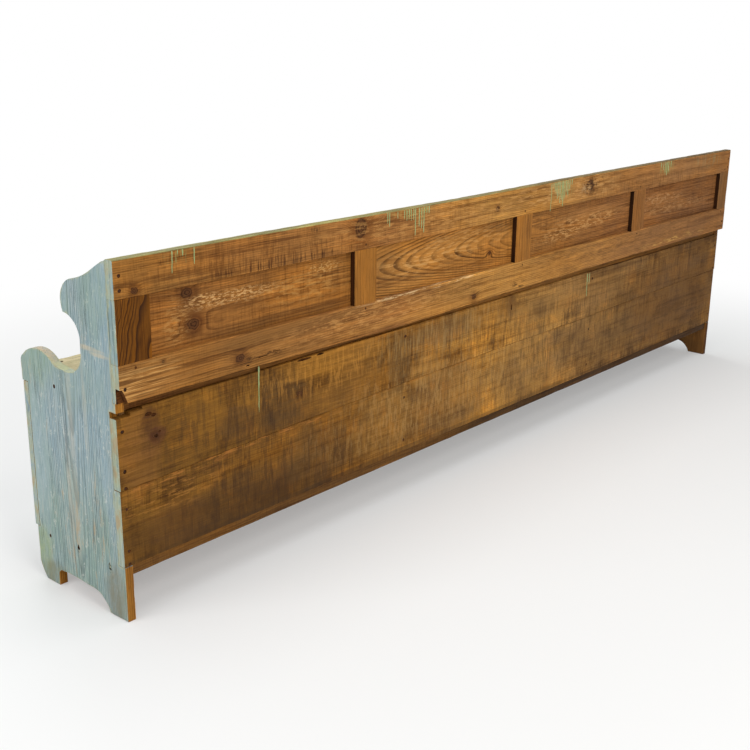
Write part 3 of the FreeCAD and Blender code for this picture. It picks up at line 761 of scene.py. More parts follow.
def peg_mesh(mesh, head, direction, length, seed, sunk=-0.0002):
    """A whittled wooden peg."""
    turn = direction.to_track_quat("Z", "Y").to_matrix()
    drop = Vector((0, 0, sag(head.x, head.z)))
    sides = 9
    rings = []
    for shrink, down in ((0.55, sunk), (0.92, sunk + 0.0003), (1.0, sunk + 0.001), (0.97, length)):
        ring = []
        for i in range(sides):
            angle = 2 * math.pi * i / sides
            out = 0.0030 * shrink * (1 + 0.06 * jitter((math.cos(angle), math.sin(angle), seed), 0.8, seed))
            local = Vector((out * math.cos(angle), out * math.sin(angle), down))
            ring.append(mesh.verts.new(head + turn @ local + drop))
        rings.append(ring)
    skin(mesh, rings)


def fasteners(node, maker, material, sides):
    """Replaces a node of nails or pegs, and returns where their heads are."""
    mesh = bmesh.new()
    heads = []
    for number, points in enumerate(solids_of(node)):
        head, direction, length = driven(points)
        if sides:
            direction = Vector((0, -1, 0))
            head.y = FRAME_FACE
        maker(mesh, head, direction, length, number + 1)
        heads.append((head, direction))
    face_outwards(mesh)
    piece = finished(mesh, "old_" + node)
    dress(piece, [material])
    smooth_by_angle(piece, 40.0)
    seat_on(piece, node)
    return heads


def craters(heads, low, high, direction, seed, material, radius, depth):
    """Ragged dents for the heads that lie in a box and point one way."""
    found = []
    for number, (head, way) in enumerate(heads):
        inside = all(low[i] - 0.001 <= head[i] <= high[i] + 0.001 for i in range(3))
        if not inside or (way - Vector(direction)).length > 0.1:
            continue
        place = head.copy()
        if hangs(head):
            place.z += sag(head.x, head.z)
        size = [radius * (1 + 0.25 * jitter(head, 0.05, seed + i)) for i in range(3)]
        axis = max(range(3), key=lambda i: abs(direction[i]))
        size[axis] = depth
        place -= Vector(direction) * 0.0003
        found.append(lump("dent", place, size, seed + number, 0.18, 2, material))
    return found


def board(node, axis, materials, step, radii, pick=None, shape=None, wear=1.0, seed=1, extra=(), cutters=(),
          spacing=0.022, radius=0.001, low=None, high=None):
    """Replaces a CAD board by a worn one of the same size."""
    box_low, box_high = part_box(node)
    low = Vector(low) if low else box_low
    high = Vector(high) if high else box_high
    number = "xyz".index(axis)
    cross = [a for a in range(3) if a != number]
    if number == 1:
        cross.reverse()
    size = [high[a] - low[a] for a in cross]
    section = Section(size[0], size[1], radii, step)
    places = stations(low[number], high[number], spacing, extra, radius)
    piece = loft("old_" + node, low, high, number, section, places, radius, shape, wear, seed)
    dress(piece, materials, pick)
    carve(piece, list(cutters))
    smooth_by_angle(piece)
    seat_on(piece, node)
    return piece


def hang(place):
    place[2] += sag(place[0], place[2])
    return place


# Nails and pegs, and the dents that they sit in
IRON = iron("iron")
# Holes, chips, splits and nail dents are lined with near-black wood: dirt, and painted shade for the shade
# inside them.
HOLE_DIRT_AND_SHADE = torn_wood("hole_dirt_and_shade", "6b3f1c", "140a05")
PEG_WOOD = pine("peg_wood", Grain("y", "z", pith=(0.3, 0.2), spacing=0.002, seed=71.0), ["4c2f18"], grime=0.3)

back_heads = fasteners("back_nails", nail_mesh, IRON, False)
chest_heads = fasteners("chest_nails", nail_mesh, IRON, False)
short_heads = fasteners("short_nails", nail_mesh, IRON, False)
peg_heads = fasteners("frame_pegs", peg_mesh, PEG_WOOD, True)
all_heads = back_heads + chest_heads + short_heads
PEG_DENT = (0.0036, 0.0008)  # radius and depth


def dents(node, direction, seed, heads=None, radius=0.0041, depth=0.0024):
    low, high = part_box(node)
    return craters(heads or all_heads, low, high, direction, seed, HOLE_DIRT_AND_SHADE, radius, depth)


# Materials of the boards. The tones run from the sitter's left end to the right one.
BACK_TONES = ["8c6232", "98683a", "b08246", "a87a42", "9c6f42", "94683e"]
LOWER_TONES = ["72501f", "7c5522", "96692c", "b98a46", "9e7848", "80603a", "745632"]


FRONT_GRAIN = Grain("x", "y", pith=(0.2, 0.05), seed=31.0)
FRAME_PAINT = milk_paint("frame_paint", FRONT_GRAIN, 31.0, wear=1.1)
TOP_PAINT = pine("top_edge", FRONT_GRAIN, ["8a8a62", "84805a", "7d7350", "74664a", "655640"], "5a4a30", 0.4,
                 grime=0.5, worn=0.8)
END_STRIP_PAINT = milk_paint("end_strip_paint", Grain("z", "x", pith=(0.3, 1.0), seed=37.0), 37.0, wear=1.3)


# Side faces of the stiles and muntins, away from the ends, get material 3: near-black painted shade for the
# shade beside each upright.
def upright_pick(centre, normal):
    if abs(normal.x) > 0.7 and abs(centre.x) < END_X - 0.01:
        return 3
    return frame_pick(centre, normal)


def frame_pick(centre, normal):
    if abs(normal.x) > 0.7 and abs(centre.x) > END_X - 0.01:
        return 2
    if normal.z > 0.35 and centre.z > BENCH_TOP - 0.012:
        return 3
    return 1 if normal.y < -0.6 else 0


top_low, top_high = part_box("back_top_rail")
bottom_low, bottom_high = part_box("back_bottom_rail")
RAIL_MIDDLE = (bottom_low.z + bottom_high.z) / 2
TOP_MIDDLE = (top_low.z + top_high.z) / 2

top_rail_grain = Grain(
    "x", "y", pith=(TOP_MIDDLE - 0.16, FRAME_FACE - 0.05), spacing=0.0044, drift=0.016, seed=1.0,
    knots=[(from_end(0.671, 0.707), 0.026, 0.82), (from_end(1.658, 0.706), 0.016, 1.5),
           (from_end(0.046, 0.672), 0.008, 1.0), (from_end(1.20, 0.690), 0.008, 1.2)])
top_rail_wood = pine(
    "top_rail_wood", top_rail_grain, BACK_TONES, contrast=0.5, saw=0.45, grime=0.6,
    patches=spots([
        (1.55, 0.70, 0.10, 0.03, "c08b50", 0.5),
        (2.2, 0.70, 0.25, 0.03, "a57a52", 0.5),
    ]),
    scuffs=spots([
        (0.44, 0.668, 0.21, 0.012, "3b2010", 0.85, 170.0, 10.0),
        (0.35, 0.690, 0.30, 0.020, "5a3518", 0.5, 150.0, 16.0),
        (0.95, 0.700, 0.35, 0.035, "c9965a", 0.45, 26.0, 150.0),
        (1.55, 0.700, 0.25, 0.030, "d3a268", 0.5, 26.0, 150.0),
        (2.05, 0.680, 0.30, 0.020, "4a2b15", 0.5, 150.0, 14.0),
        (0.525, 0.723, 0.014, 0.006, "2c190c", 0.8, 200.0, 20.0),
        (0.105, 0.712, 0.006, 0.008, "3b2010", 0.7, 150.0, 20.0),
        (1.665, 0.700, 0.035, 0.022, "35200f", 0.8, 55.0, 60.0),
        (1.630, 0.706, 0.030, 0.020, "b99a74", 0.5, 110.0, 40.0),
        (0.163, 0.722, 0.035, 0.014, "8f9560", 0.55, 130.0, 12.0),
        (0.860, 0.724, 0.065, 0.012, "93995f", 0.55, 150.0, 12.0),
        (1.505, 0.706, 0.055, 0.030, "8f9560", 0.60, 130.0, 10.0),
        (2.120, 0.716, 0.050, 0.018, "8f9560", 0.55, 110.0, 10.0),
        (2.420, 0.712, 0.090, 0.020, "7f8266", 0.45, 90.0, 8.0),
    ]))
board(
    "back_top_rail", "x", [top_rail_wood, FRAME_PAINT, END_STRIP_PAINT, TOP_PAINT], 0.012,
    (0.0012, 0.0012, 0.003, 0.003), frame_pick, hang, 1.2, 3, spacing=0.016,
    cutters=dents("back_top_rail", (0, -1, 0), 5)
    + dents("back_top_rail", (0, -1, 0), 6, peg_heads, *PEG_DENT))

bottom_rail_grain = Grain(
    "x", "y", pith=(RAIL_MIDDLE - 0.19, FRAME_FACE - 0.03), spacing=0.0050, drift=0.014,
    slope=0.010, seed=2.0,
    knots=[(from_end(0.302, 0.487), 0.010, 1.3), (from_end(1.11, 0.474), 0.008, 1.4),
           (from_end(0.105, 0.523), 0.004, 1.0)])
bottom_rail_wood = pine(
    "bottom_rail_wood", bottom_rail_grain, BACK_TONES, contrast=0.62, saw=0.35, grime=0.45,
    patches=spots([
        (0.06, 0.49, 0.10, 0.03, "b5824c", 0.45),
        (0.40, 0.52, 0.30, 0.012, "5c4226", 0.5),
        (1.0, 0.47, 0.35, 0.010, "c08a48", 0.5),
        (2.2, 0.50, 0.35, 0.04, "8a6240", 0.5),
    ]), worn=0.8,
    scuffs=spots([
        (0.05, 0.50, 0.10, 0.034, "d0a064", 0.75, 5.0, 170.0),
        (0.06, 0.50, 0.12, 0.034, "4a2b12", 0.60, 4.0, 130.0),
        (0.75, 0.50, 0.30, 0.030, "c9955a", 0.5, 22.0, 150.0),
        (0.92, 0.530, 0.20, 0.005, "dcc19a", 0.7, 20.0, 200.0),
        (1.50, 0.50, 0.40, 0.035, "bd8748", 0.45, 22.0, 150.0),
        (0.36, 0.478, 0.06, 0.008, "2c180b", 0.8, 40.0, 200.0),
        (2.20, 0.477, 0.20, 0.008, "c79a58", 0.65, 20.0, 150.0),
        (2.00, 0.505, 0.45, 0.030, "6b4a2c", 0.50, 26.0, 150.0),
        (1.315, 0.474, 0.030, 0.010, "3b2412", 0.8, 40.0, 120.0),
    ]))
broken_corner = wedge(
    "broken_corner",
    [(END_X - 0.0205, FRAME_BOTTOM - 0.004), (END_X - 0.006, FRAME_BOTTOM + 0.029),
     (END_X + 0.004, FRAME_BOTTOM + 0.031), (END_X + 0.004, FRAME_BOTTOM - 0.004)],
    (FRAME_FACE - 0.0125, FRAME_FACE + 0.004), 9, HOLE_DIRT_AND_SHADE)
rail_splits = [
    lump("split", from_end(0.365, 0.4790 + sag(END_X - 0.365, 0.479)),
         (0.016, 0.003, 0.0011), 4, 0.3, 2, HOLE_DIRT_AND_SHADE),
    lump("split", from_end(0.405, 0.4835 + sag(END_X - 0.405, 0.483)),
         (0.012, 0.003, 0.0009), 5, 0.3, 2, HOLE_DIRT_AND_SHADE),
    lump("split", from_end(0.322, 0.4680 + sag(END_X - 0.322, 0.468)),
         (0.006, 0.003, 0.0016), 6, 0.4, 2, HOLE_DIRT_AND_SHADE),
]
board(
    "back_bottom_rail", "x", [bottom_rail_wood, FRAME_PAINT, END_STRIP_PAINT], 0.012,
    (0.0012, 0.0018, 0.0012, 0.0012), frame_pick, hang, 1.3, 4, spacing=0.016,
    cutters=[broken_corner] + rail_splits + dents("back_bottom_rail", (0, -1, 0), 7)
    + dents("back_bottom_rail", (0, -1, 0), 8, peg_heads, *PEG_DENT))

UPRIGHTS = {
    "back_stile_left": (["6a400c"], "281304", 0.9, 0.0048, 0.020, 11.0),
    "back_muntin_1": (["98662c"], "6a4016", 0.55, 0.0024, 0.003, 12.0),
    "back_muntin_2": (["9c6a32"], "5d3714", 0.55, 0.0026, 0.004, 13.0),
    "back_muntin_3": (["8e6136"], "553419", 0.55, 0.0030, 0.004, 14.0),
    "back_stile_right": (["7d5a38"], "4c341f", 0.5, 0.0036, 0.004, 15.0),
}
# Near-black brown on the uprights' side faces: painted shade, not the wood's own colour.
painted_shade_sides = pine("painted_shade_sides", Grain("z", "x", pith=(0.3, 0.0), seed=45.0), ["2c190b"], grime=0.9)
for number, (node, (tones, late, contrast, ring, wave, seed)) in enumerate(UPRIGHTS.items()):
    low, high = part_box(node)
    middle = (low.x + high.x) / 2
    grain = Grain("z", "y", pith=(middle + 0.11, FRAME_FACE - 0.06), spacing=ring, drift=wave * 1.6,
                  waviness=wave, ripple=11.0, slope=0.25 if number == 0 else 0.0, seed=seed)
    wood = pine(node + "_wood", grain, tones, late, contrast, saw=0.1, grime=0.45, fine=2.2, fibre=0.9)
    board(
        node, "z", [wood, FRAME_PAINT, END_STRIP_PAINT, painted_shade_sides], 0.012, (0.001,) * 4,
        upright_pick, hang, 0.6,
        20 + number,
        low=(low.x, low.y, bottom_high.z - 0.0004), high=(high.x, high.y, top_low.z + 0.0004))

PANEL_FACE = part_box("back_panel_1")[1].y
PANELS = {
    "back_panel_1": (["8d5f31", "95642f"], -0.02, 0.0, 0.013, 16.0,
                     [(from_end(0.180, 0.643, PANEL_FACE), 0.010, 1.6),
                      (from_end(0.192, 0.578, PANEL_FACE), 0.012, 1.5)]),
    "back_panel_2": (["b07c40", "a47138"], 0.0, 0.070, 0.010, 17.0,
                     [(from_end(1.19, 0.575, PANEL_FACE), 0.006, 1.2)]),
    "back_panel_3": (["996a38", "90623a"], 0.01, 0.030, 0.012, 18.0, []),
    "back_panel_4": (["8c5f38", "835a38"], -0.03, 0.010, 0.010, 19.0, []),
}
PANEL_PATCHES = {
    "back_panel_1": [
        (0.19, 0.60, 0.03, 0.05, "50301b", 0.6),
        (0.45, 0.545, 0.20, 0.012, "4e3821", 0.6),
    ],
    "back_panel_2": [
        (0.78, 0.60, 0.05, 0.05, "5a3c22", 0.5),
        (1.10, 0.62, 0.16, 0.02, "bb8444", 0.5),
    ],
    "back_panel_3": [(1.70, 0.62, 0.16, 0.02, "a87a4c", 0.5)],
    "back_panel_4": [(2.15, 0.60, 0.14, 0.03, "9c6c40", 0.5)],
}
PANEL_SCUFFS = {
    "back_panel_1": [
        (0.29, 0.616, 0.11, 0.013, "d3a874", 0.75, 90.0, 330.0),
        (0.22, 0.628, 0.03, 0.006, "d3a874", 0.7, 90.0, 330.0),
        (0.15, 0.585, 0.03, 0.05, "bd9058", 0.45, 60.0, 300.0),
        (0.56, 0.634, 0.05, 0.012, "d0a468", 0.6, 110.0, 260.0),
        (0.50, 0.600, 0.12, 0.03, "c39355", 0.4, 30.0, 200.0),
    ],
    "back_panel_2": [
        (0.90, 0.60, 0.14, 0.03, "cf9f64", 0.6, 24.0, 170.0),
        (1.10, 0.62, 0.14, 0.03, "cf9f64", 0.4, 24.0, 170.0),
    ],
    "back_panel_3": [
        (1.66, 0.60, 0.18, 0.022, "c99a64", 0.60, 50.0, 210.0),
        (1.52, 0.575, 0.10, 0.014, "c99a64", 0.55, 50.0, 210.0),
        (1.45, 0.63, 0.10, 0.020, "5a3a20", 0.45, 30.0, 160.0),
    ],
    "back_panel_4": [
        (2.12, 0.615, 0.14, 0.016, "c09468", 0.55, 50.0, 210.0),
        (2.20, 0.58, 0.22, 0.014, "b58a5e", 0.45, 50.0, 210.0),
    ],
}
for number, (node, (tones, rise, taper, drift, seed, knots)) in enumerate(PANELS.items()):
    low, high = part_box(node)
    grain = Grain("x", "y", pith=((low.z + high.z) / 2 + rise,
                                 PANEL_FACE - 0.045 - taper * (low.x + high.x) / 2),
                  spacing=0.0033 if number == 1 else 0.0040, drift=drift, taper=taper, seed=seed, knots=knots)
    wood = pine(node + "_wood", grain, tones, "432509" if number == 1 else "4f2c11",
                0.95 if number == 1 else 0.6, saw=0.6, grime=0.55,
                patches=spots(PANEL_PATCHES[node], PANEL_FACE), ends=(high.x, low.x),
                scuffs=spots(PANEL_SCUFFS[node], PANEL_FACE))
    board(node, "x", [wood, FRAME_PAINT, END_STRIP_PAINT], 0.014, (0.0008,) * 4,
          frame_pick, hang, 0.3, 30 + number)

# The lower back: two tapered planks, the upper one standing a little proud
LEDGE = 0.0009
lower_low, lower_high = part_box("lower_back_plank_lower")
upper_low, upper_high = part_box("lower_back_plank_upper")
JOINT_LEFT = upper_low.z
JOINT_RIGHT = lower_high.z


def joint_height(x):
    """The line where the two planks meet, a little wavy as the saw left it."""
    share = (END_X - x) / (2 * END_X)
    bow = 0.007 * math.sin(math.pi * min(1.0, share * 1.6))
    return JOINT_LEFT + (JOINT_RIGHT - JOINT_LEFT) * share + bow + 0.0012 * jitter((x, 0, 0), 0.09, 51)


def upper_plank(place):
    share = (place[2] - upper_low.z) / (upper_high.z - upper_low.z)
    foot = joint_height(place[0])
    distance = END_X - place[0]
    top = BOX_TOP
    if distance < 0.062:
        top -= 0.0115 if distance < 0.034 else 0.0048
        top += 0.0008 * jitter(place, 0.006, 52)
    place[2] = foot + share * (top - foot)
    place[1] += LEDGE * (1 - share)
    return place


def lower_plank(place):
    share = (place[2] - lower_low.z) / (lower_high.z - lower_low.z)
    place[2] = FLOOR_TOP + share * (joint_height(place[0]) - 0.0004 - FLOOR_TOP)
    place[1] -= LEDGE * share
    return place


def plank_pick(centre, normal):
    if abs(normal.x) > 0.7 and abs(centre.x) > END_X - 0.002:
        return 2
    return 1 if normal.y < -0.7 else 0


INNER_TONES = ["8c6a45", "94714a", "8c6a45"]
inner_x = pine("inner_pine_x", Grain("x", "y", pith=(0.0, 0.3), spacing=0.0044, seed=41.0),
               INNER_TONES, grime=0.3, saw=0.4)
inner_y = pine("inner_pine_y", Grain("y", "x", pith=(0.0, 0.3), spacing=0.0044, seed=42.0),
               INNER_TONES, grime=0.3, saw=0.4)
LOWER_PATCHES = [
    (0.05, 0.35, 0.05, 0.09, "8a5f36", 0.5),
    (0.080, 0.405, 0.022, 0.026, "452a1a", 0.85),
    (0.095, 0.372, 0.022, 0.018, "553323", 0.8),
    (0.22, 0.385, 0.05, 0.05, "8d6224", 0.6),
    (0.30, 0.345, 0.05, 0.035, "4a3826", 0.7),
    (0.36, 0.40, 0.04, 0.035, "96692a", 0.5),
    (0.44, 0.355, 0.09, 0.060, "4c3a26", 0.75),
    (0.60, 0.415, 0.18, 0.030, "b17c34", 0.75),
    (0.66, 0.33, 0.12, 0.055, "9a6c30", 0.6),
    (0.835, 0.35, 0.040, 0.075, "55452f", 0.75),
    (0.94, 0.31, 0.055, 0.040, "ab8148", 0.6),
    (1.02, 0.40, 0.14, 0.032, "65523a", 0.65),
    (1.22, 0.41, 0.10, 0.03, "a87636", 0.6),
    (1.31, 0.41, 0.02, 0.035, "4a3020", 0.8),
    (1.45, 0.36, 0.16, 0.06, "8a6a42", 0.6),
    (1.75, 0.38, 0.20, 0.05, "8c6a42", 0.55),
    (0.30, 0.17, 0.18, 0.06, "4a3624", 0.7),
    (0.55, 0.20, 0.12, 0.07, "5d452a", 0.6),
    (0.14, 0.17, 0.08, 0.05, "6c4a28", 0.5),
    (0.78, 0.21, 0.12, 0.08, "94703f", 0.6),
    (1.05, 0.22, 0.16, 0.09, "7d6140", 0.6),
    (1.40, 0.22, 0.20, 0.10, "846743", 0.6),
    (1.85, 0.24, 0.25, 0.10, "705534", 0.5),
    (2.30, 0.28, 0.30, 0.15, "6a4a2c", 0.6),
]
LOWER_SCUFFS = [
    (0.32, 0.36, 0.22, 0.09, "33231a", 0.40, 70.0, 12.0),
    (0.45, 0.20, 0.35, 0.09, "33231a", 0.40, 90.0, 12.0),
    (0.60, 0.40, 0.25, 0.05, "c48c42", 0.35, 120.0, 20.0),
    (1.00, 0.40, 0.25, 0.05, "a88a5c", 0.40, 150.0, 16.0),
    (1.20, 0.28, 0.50, 0.15, "4a3826", 0.35, 110.0, 14.0),
    (1.00, 0.24, 0.40, 0.10, "b08c5a", 0.35, 120.0, 30.0),
    (1.90, 0.28, 0.50, 0.15, "4a3420", 0.35, 110.0, 14.0),
]
upper_grain = Grain("x", "y", pith=(0.10, BACK_PLANE - 0.04), spacing=0.0048, drift=0.02, seed=3.0,
                    knots=[(from_end(0.089, 0.373), 0.006, 1.2), (from_end(0.49, 0.36), 0.007, 1.3)])
upper_wood = pine("upper_plank_wood", upper_grain, LOWER_TONES, contrast=0.3, saw=1.0, grime=0.8, fibre=0.8,
                  patches=spots(LOWER_PATCHES), scuffs=spots(LOWER_SCUFFS), worn=0.2, blotch=0.9, rim=0.3)
lower_grain = Grain("x", "y", pith=(0.62, BACK_PLANE - 0.05), spacing=0.0050, drift=0.02, seed=4.0)
lower_wood = pine(
    "lower_plank_wood", lower_grain, LOWER_TONES, contrast=0.3, saw=1.0, grime=0.9, fibre=0.8, worn=0.2,
    blotch=0.9, rim=0.3, patches=spots(LOWER_PATCHES + [
        (0.9, 0.125, 1.1, 0.006, "3a2b1e", 0.7),
        (0.20, 0.155, 0.26, 0.045, "3f2a16", 0.6),
    ]),
    scuffs=spots(LOWER_SCUFFS + [
        (0.14, 0.276, 0.12, 0.006, "ab7038", 0.6, 26.0, 200.0),
        (0.36, 0.286, 0.24, 0.005, "ab7038", 0.65, 26.0, 200.0),
        (0.90, 0.297, 0.30, 0.004, "a87038", 0.5, 26.0, 200.0),
        (0.13, 0.240, 0.12, 0.030, "a87438", 0.45, 26.0, 150.0),
    ]))
knot_holes = [
    lump("knot_hole", from_end(0.076, 0.421), (0.0085, 0.0035, 0.0045), 11, 0.35, 3, HOLE_DIRT_AND_SHADE),
    lump("knot_hole", from_end(0.088, 0.4165), (0.006, 0.003, 0.0035), 12, 0.4, 3, HOLE_DIRT_AND_SHADE),
    lump("knot_hole", from_end(0.092, 0.372), (0.005, 0.0025, 0.0035), 13, 0.4, 3, HOLE_DIRT_AND_SHADE),
    lump("knot_hole", from_end(0.101, 0.379), (0.003, 0.002, 0.002), 14, 0.4, 2, HOLE_DIRT_AND_SHADE),
    lump("knot_hole", from_end(1.309, 0.407), (0.003, 0.003, 0.010), 15, 0.4, 3, HOLE_DIRT_AND_SHADE),
    lump("knot_hole", from_end(0.503, 0.4365), (0.020, 0.004, 0.0030), 16, 0.3, 3, HOLE_DIRT_AND_SHADE),
    lump("knot_hole", from_end(0.556, 0.4375), (0.012, 0.004, 0.0022), 17, 0.3, 3, HOLE_DIRT_AND_SHADE),
]
step_places = [END_X - d for d in (0.006, 0.012, 0.018, 0.024, 0.030, 0.0338, 0.0342,
                                   0.040, 0.048, 0.056, 0.0618, 0.0622)]
board(
    "lower_back_plank_upper", "x", [upper_wood, inner_x, END_STRIP_PAINT], 0.014,
    (0.0012, 0.0016, 0.0014, 0.0012),
    plank_pick, upper_plank, 1.2, 5, spacing=0.018, extra=step_places,
    cutters=knot_holes + dents("lower_back_plank_upper", (0, -1, 0), 60))
board(
    "lower_back_plank_lower", "x", [lower_wood, inner_x, END_STRIP_PAINT], 0.014,
    (0.0012, 0.0018, 0.0020, 0.0012),
    plank_pick, lower_plank, 1.2, 6, spacing=0.018,
    cutters=dents("lower_back_plank_lower", (0, -1, 0), 61))


# Seat, front, floor and inside
def top_bare(centre, normal):
    if normal.y > 0.6 and centre.y > BACK_PLANE - 0.03:
        return 2
    return 1 if normal.z < -0.7 else 0


def cream_paint(name, axis, seed):
    """Pale yellow-green paint, worn to bare wood where people sat."""
    grain = Grain(axis, "z", pith=(0.05, SEAT_TOP - 0.05), spacing=0.0050, drift=0.02, seed=seed)
    return milk_paint(name, grain, seed, blue="cfbf95", green="bfb78a", pale="e0d2ac", wood="b08654",
                      dark="9c8f66", haze="cdbb90", chalk="e2d5ae", lines="9a8758", wear=1.1)


seat_paint = cream_paint("seat_paint", "x", 81.0)
NOSING = (0.004, 0.001, 0.001, 0.008)
hidden_edge = pine("hidden_edge", Grain("x", "y", pith=(0.0, 0.3), seed=44.0),
                   ["6a4723", "8a6232", "8a6232", "6a4b28"],
                   grime=0.6, saw=0.6)
board("seat_rail", "x", [seat_paint, inner_x, hidden_edge], 0.014, (0.001,) * 4, top_bare, None, 0.8, 40,
      cutters=dents("seat_rail", (0, 0, -1), 62), spacing=0.03)
for number, side in enumerate(("left", "middle", "right")):
    board(side + "_lid", "x", [seat_paint, inner_x], 0.016, NOSING, top_bare, None, 1.0, 41 + number,
          spacing=0.024)
    for batten in (1, 2):
        board("%s_lid_batten_%d" % (side, batten), "y", [inner_y], 0.014, (0.0015,) * 4, None, None, 0.8,
              50 + 2 * number + batten, spacing=0.03)
for number, side in enumerate(("left", "right")):
    board(side + "_seat_end", "x", [seat_paint, inner_x, hidden_edge], 0.016, NOSING, top_bare, None, 1.0,
          45 + number,
          cutters=dents(side + "_seat_end", (0, 0, -1), 63 + number), spacing=0.02)
    board(side + "_divider", "y", [inner_y], 0.02, (0.001,) * 4, None, None, 0.6, 60 + number, spacing=0.03)
    board(side + "_seat_cleat", "y", [inner_y], 0.012, (0.0012,) * 4, None, None, 0.8, 62 + number,
          spacing=0.03)
    board(side + "_seat_bearer", "y", [inner_y], 0.012, (0.0012,) * 4, None, None, 0.8, 64 + number,
          spacing=0.03)

front_grain = Grain("x", "y", pith=(0.27, -0.20), spacing=0.0052, drift=0.02, taper=0.02, seed=33.0)
front_paint = milk_paint("front_paint", front_grain, 33.0, wear=1.15)


def front_pick(centre, normal):
    if abs(normal.x) > 0.7:
        return 2
    return 1 if normal.y < -0.6 else 0


board("front_board", "x", [inner_x, front_paint, END_STRIP_PAINT], 0.02, (0.0016, 0.0012, 0.0012, 0.0016),
      front_pick,
      None, 1.2, 70, spacing=0.024, cutters=dents("front_board", (0, 1, 0), 66))
floor_wood = pine("floor_wood", Grain("x", "z", pith=(0.0, 0.3), spacing=0.0046, seed=43.0),
                  ["6b4a24", "503a20", "453220"],
                  grime=0.7, saw=0.5, worn=0.15)
board("floor_board", "x", [floor_wood], 0.03, (0.0015,) * 4, None, None, 1.0, 71, spacing=0.04,
      cutters=dents("floor_board", (0, 0, 1), 67))


# End boards
def outline_of(node, outer_x):
    """The outline of an end board's outer face, as (y, z) places in order."""
    mesh = bmesh.new()
    mesh.from_mesh(frame["nodes"][node].data)
    bmesh.ops.remove_doubles(mesh, verts=mesh.verts, dist=1e-5)
    flat = {f for f in mesh.faces if all(abs(v.co.x - outer_x) < 1e-5 for v in f.verts)}
    rim = [e for e in mesh.edges if sum(f in flat for f in e.link_faces) == 1]
    following = {}
    for e in rim:
        for a, b in (e.verts, reversed(e.verts)):
            following.setdefault(a, []).append(b)
    loops = []
    waiting = set(following)
    while waiting:
        start = min(waiting, key=lambda v: v.index)
        loop, last, here = [start], None, start
        while True:
            options = [v for v in following[here] if v != last]
            last, here = here, options[0]
            if here == start:
                break
            loop.append(here)
        waiting -= set(loop)
        loops.append([Vector((v.co.y, v.co.z)) for v in loop])
    mesh.free()
    longest = max(loops, key=lambda l: sum((a - b).length for a, b in zip(l, l[1:] + l[:1])))
    area = sum(a.x * b.y - b.x * a.y for a, b in zip(longest, longest[1:] + longest[:1]))
    return longest if area > 0 else longest[::-1]


def divided(loop, step):
    """An outline with places added so that none are further apart than a step, and with
    the closest ones left out unless they are corners."""
    kept = []
    for i, place in enumerate(loop):
        before = (place - loop[i - 1]).normalized()
        after = (loop[(i + 1) % len(loop)] - place).normalized()
        if before.dot(after) < 0.9 or not kept or (place - kept[-1]).length > 0.0028:
            while kept and (place - kept[-1]).length < 0.0028 and len(kept) > 1:
                kept.pop()
            kept.append(place)
    loop = kept
    places = []
    for a, b in zip(loop, loop[1:] + loop[:1]):
        count = max(1, math.ceil((b - a).length / step))
        places += [a + (b - a) * i / count for i in range(count)]
    return places


def drawn_in(loop, distance):
    """An outline moved inwards. Corners keep their mitres."""
    moved = []
    for i, place in enumerate(loop):
        before = (place - loop[i - 1]).normalized()
        after = (loop[(i + 1) % len(loop)] - place).normalized()
        first = Vector((-before.y, before.x))
        second = Vector((-after.y, after.x))
        mitre = first + second
        mitre = mitre / max(mitre.length_squared / 2, 0.6)
        moved.append(place + mitre * distance)
    return moved


def from_outline(place, loop, tree):
    """The distance of a (y, z) place from an outline, whose places are in a search tree."""
    nearest = 1.0
    index = tree.find((place.x, place.y, 0.0))[1]
    for first in (index - 1, index):
        a, b = loop[first], loop[(first + 1) % len(loop)]
        along = b - a
        share = max(0.0, min(1.0, (place - a).dot(along) / along.length_squared))
        nearest = min(nearest, (place - a - along * share).length)
    return nearest


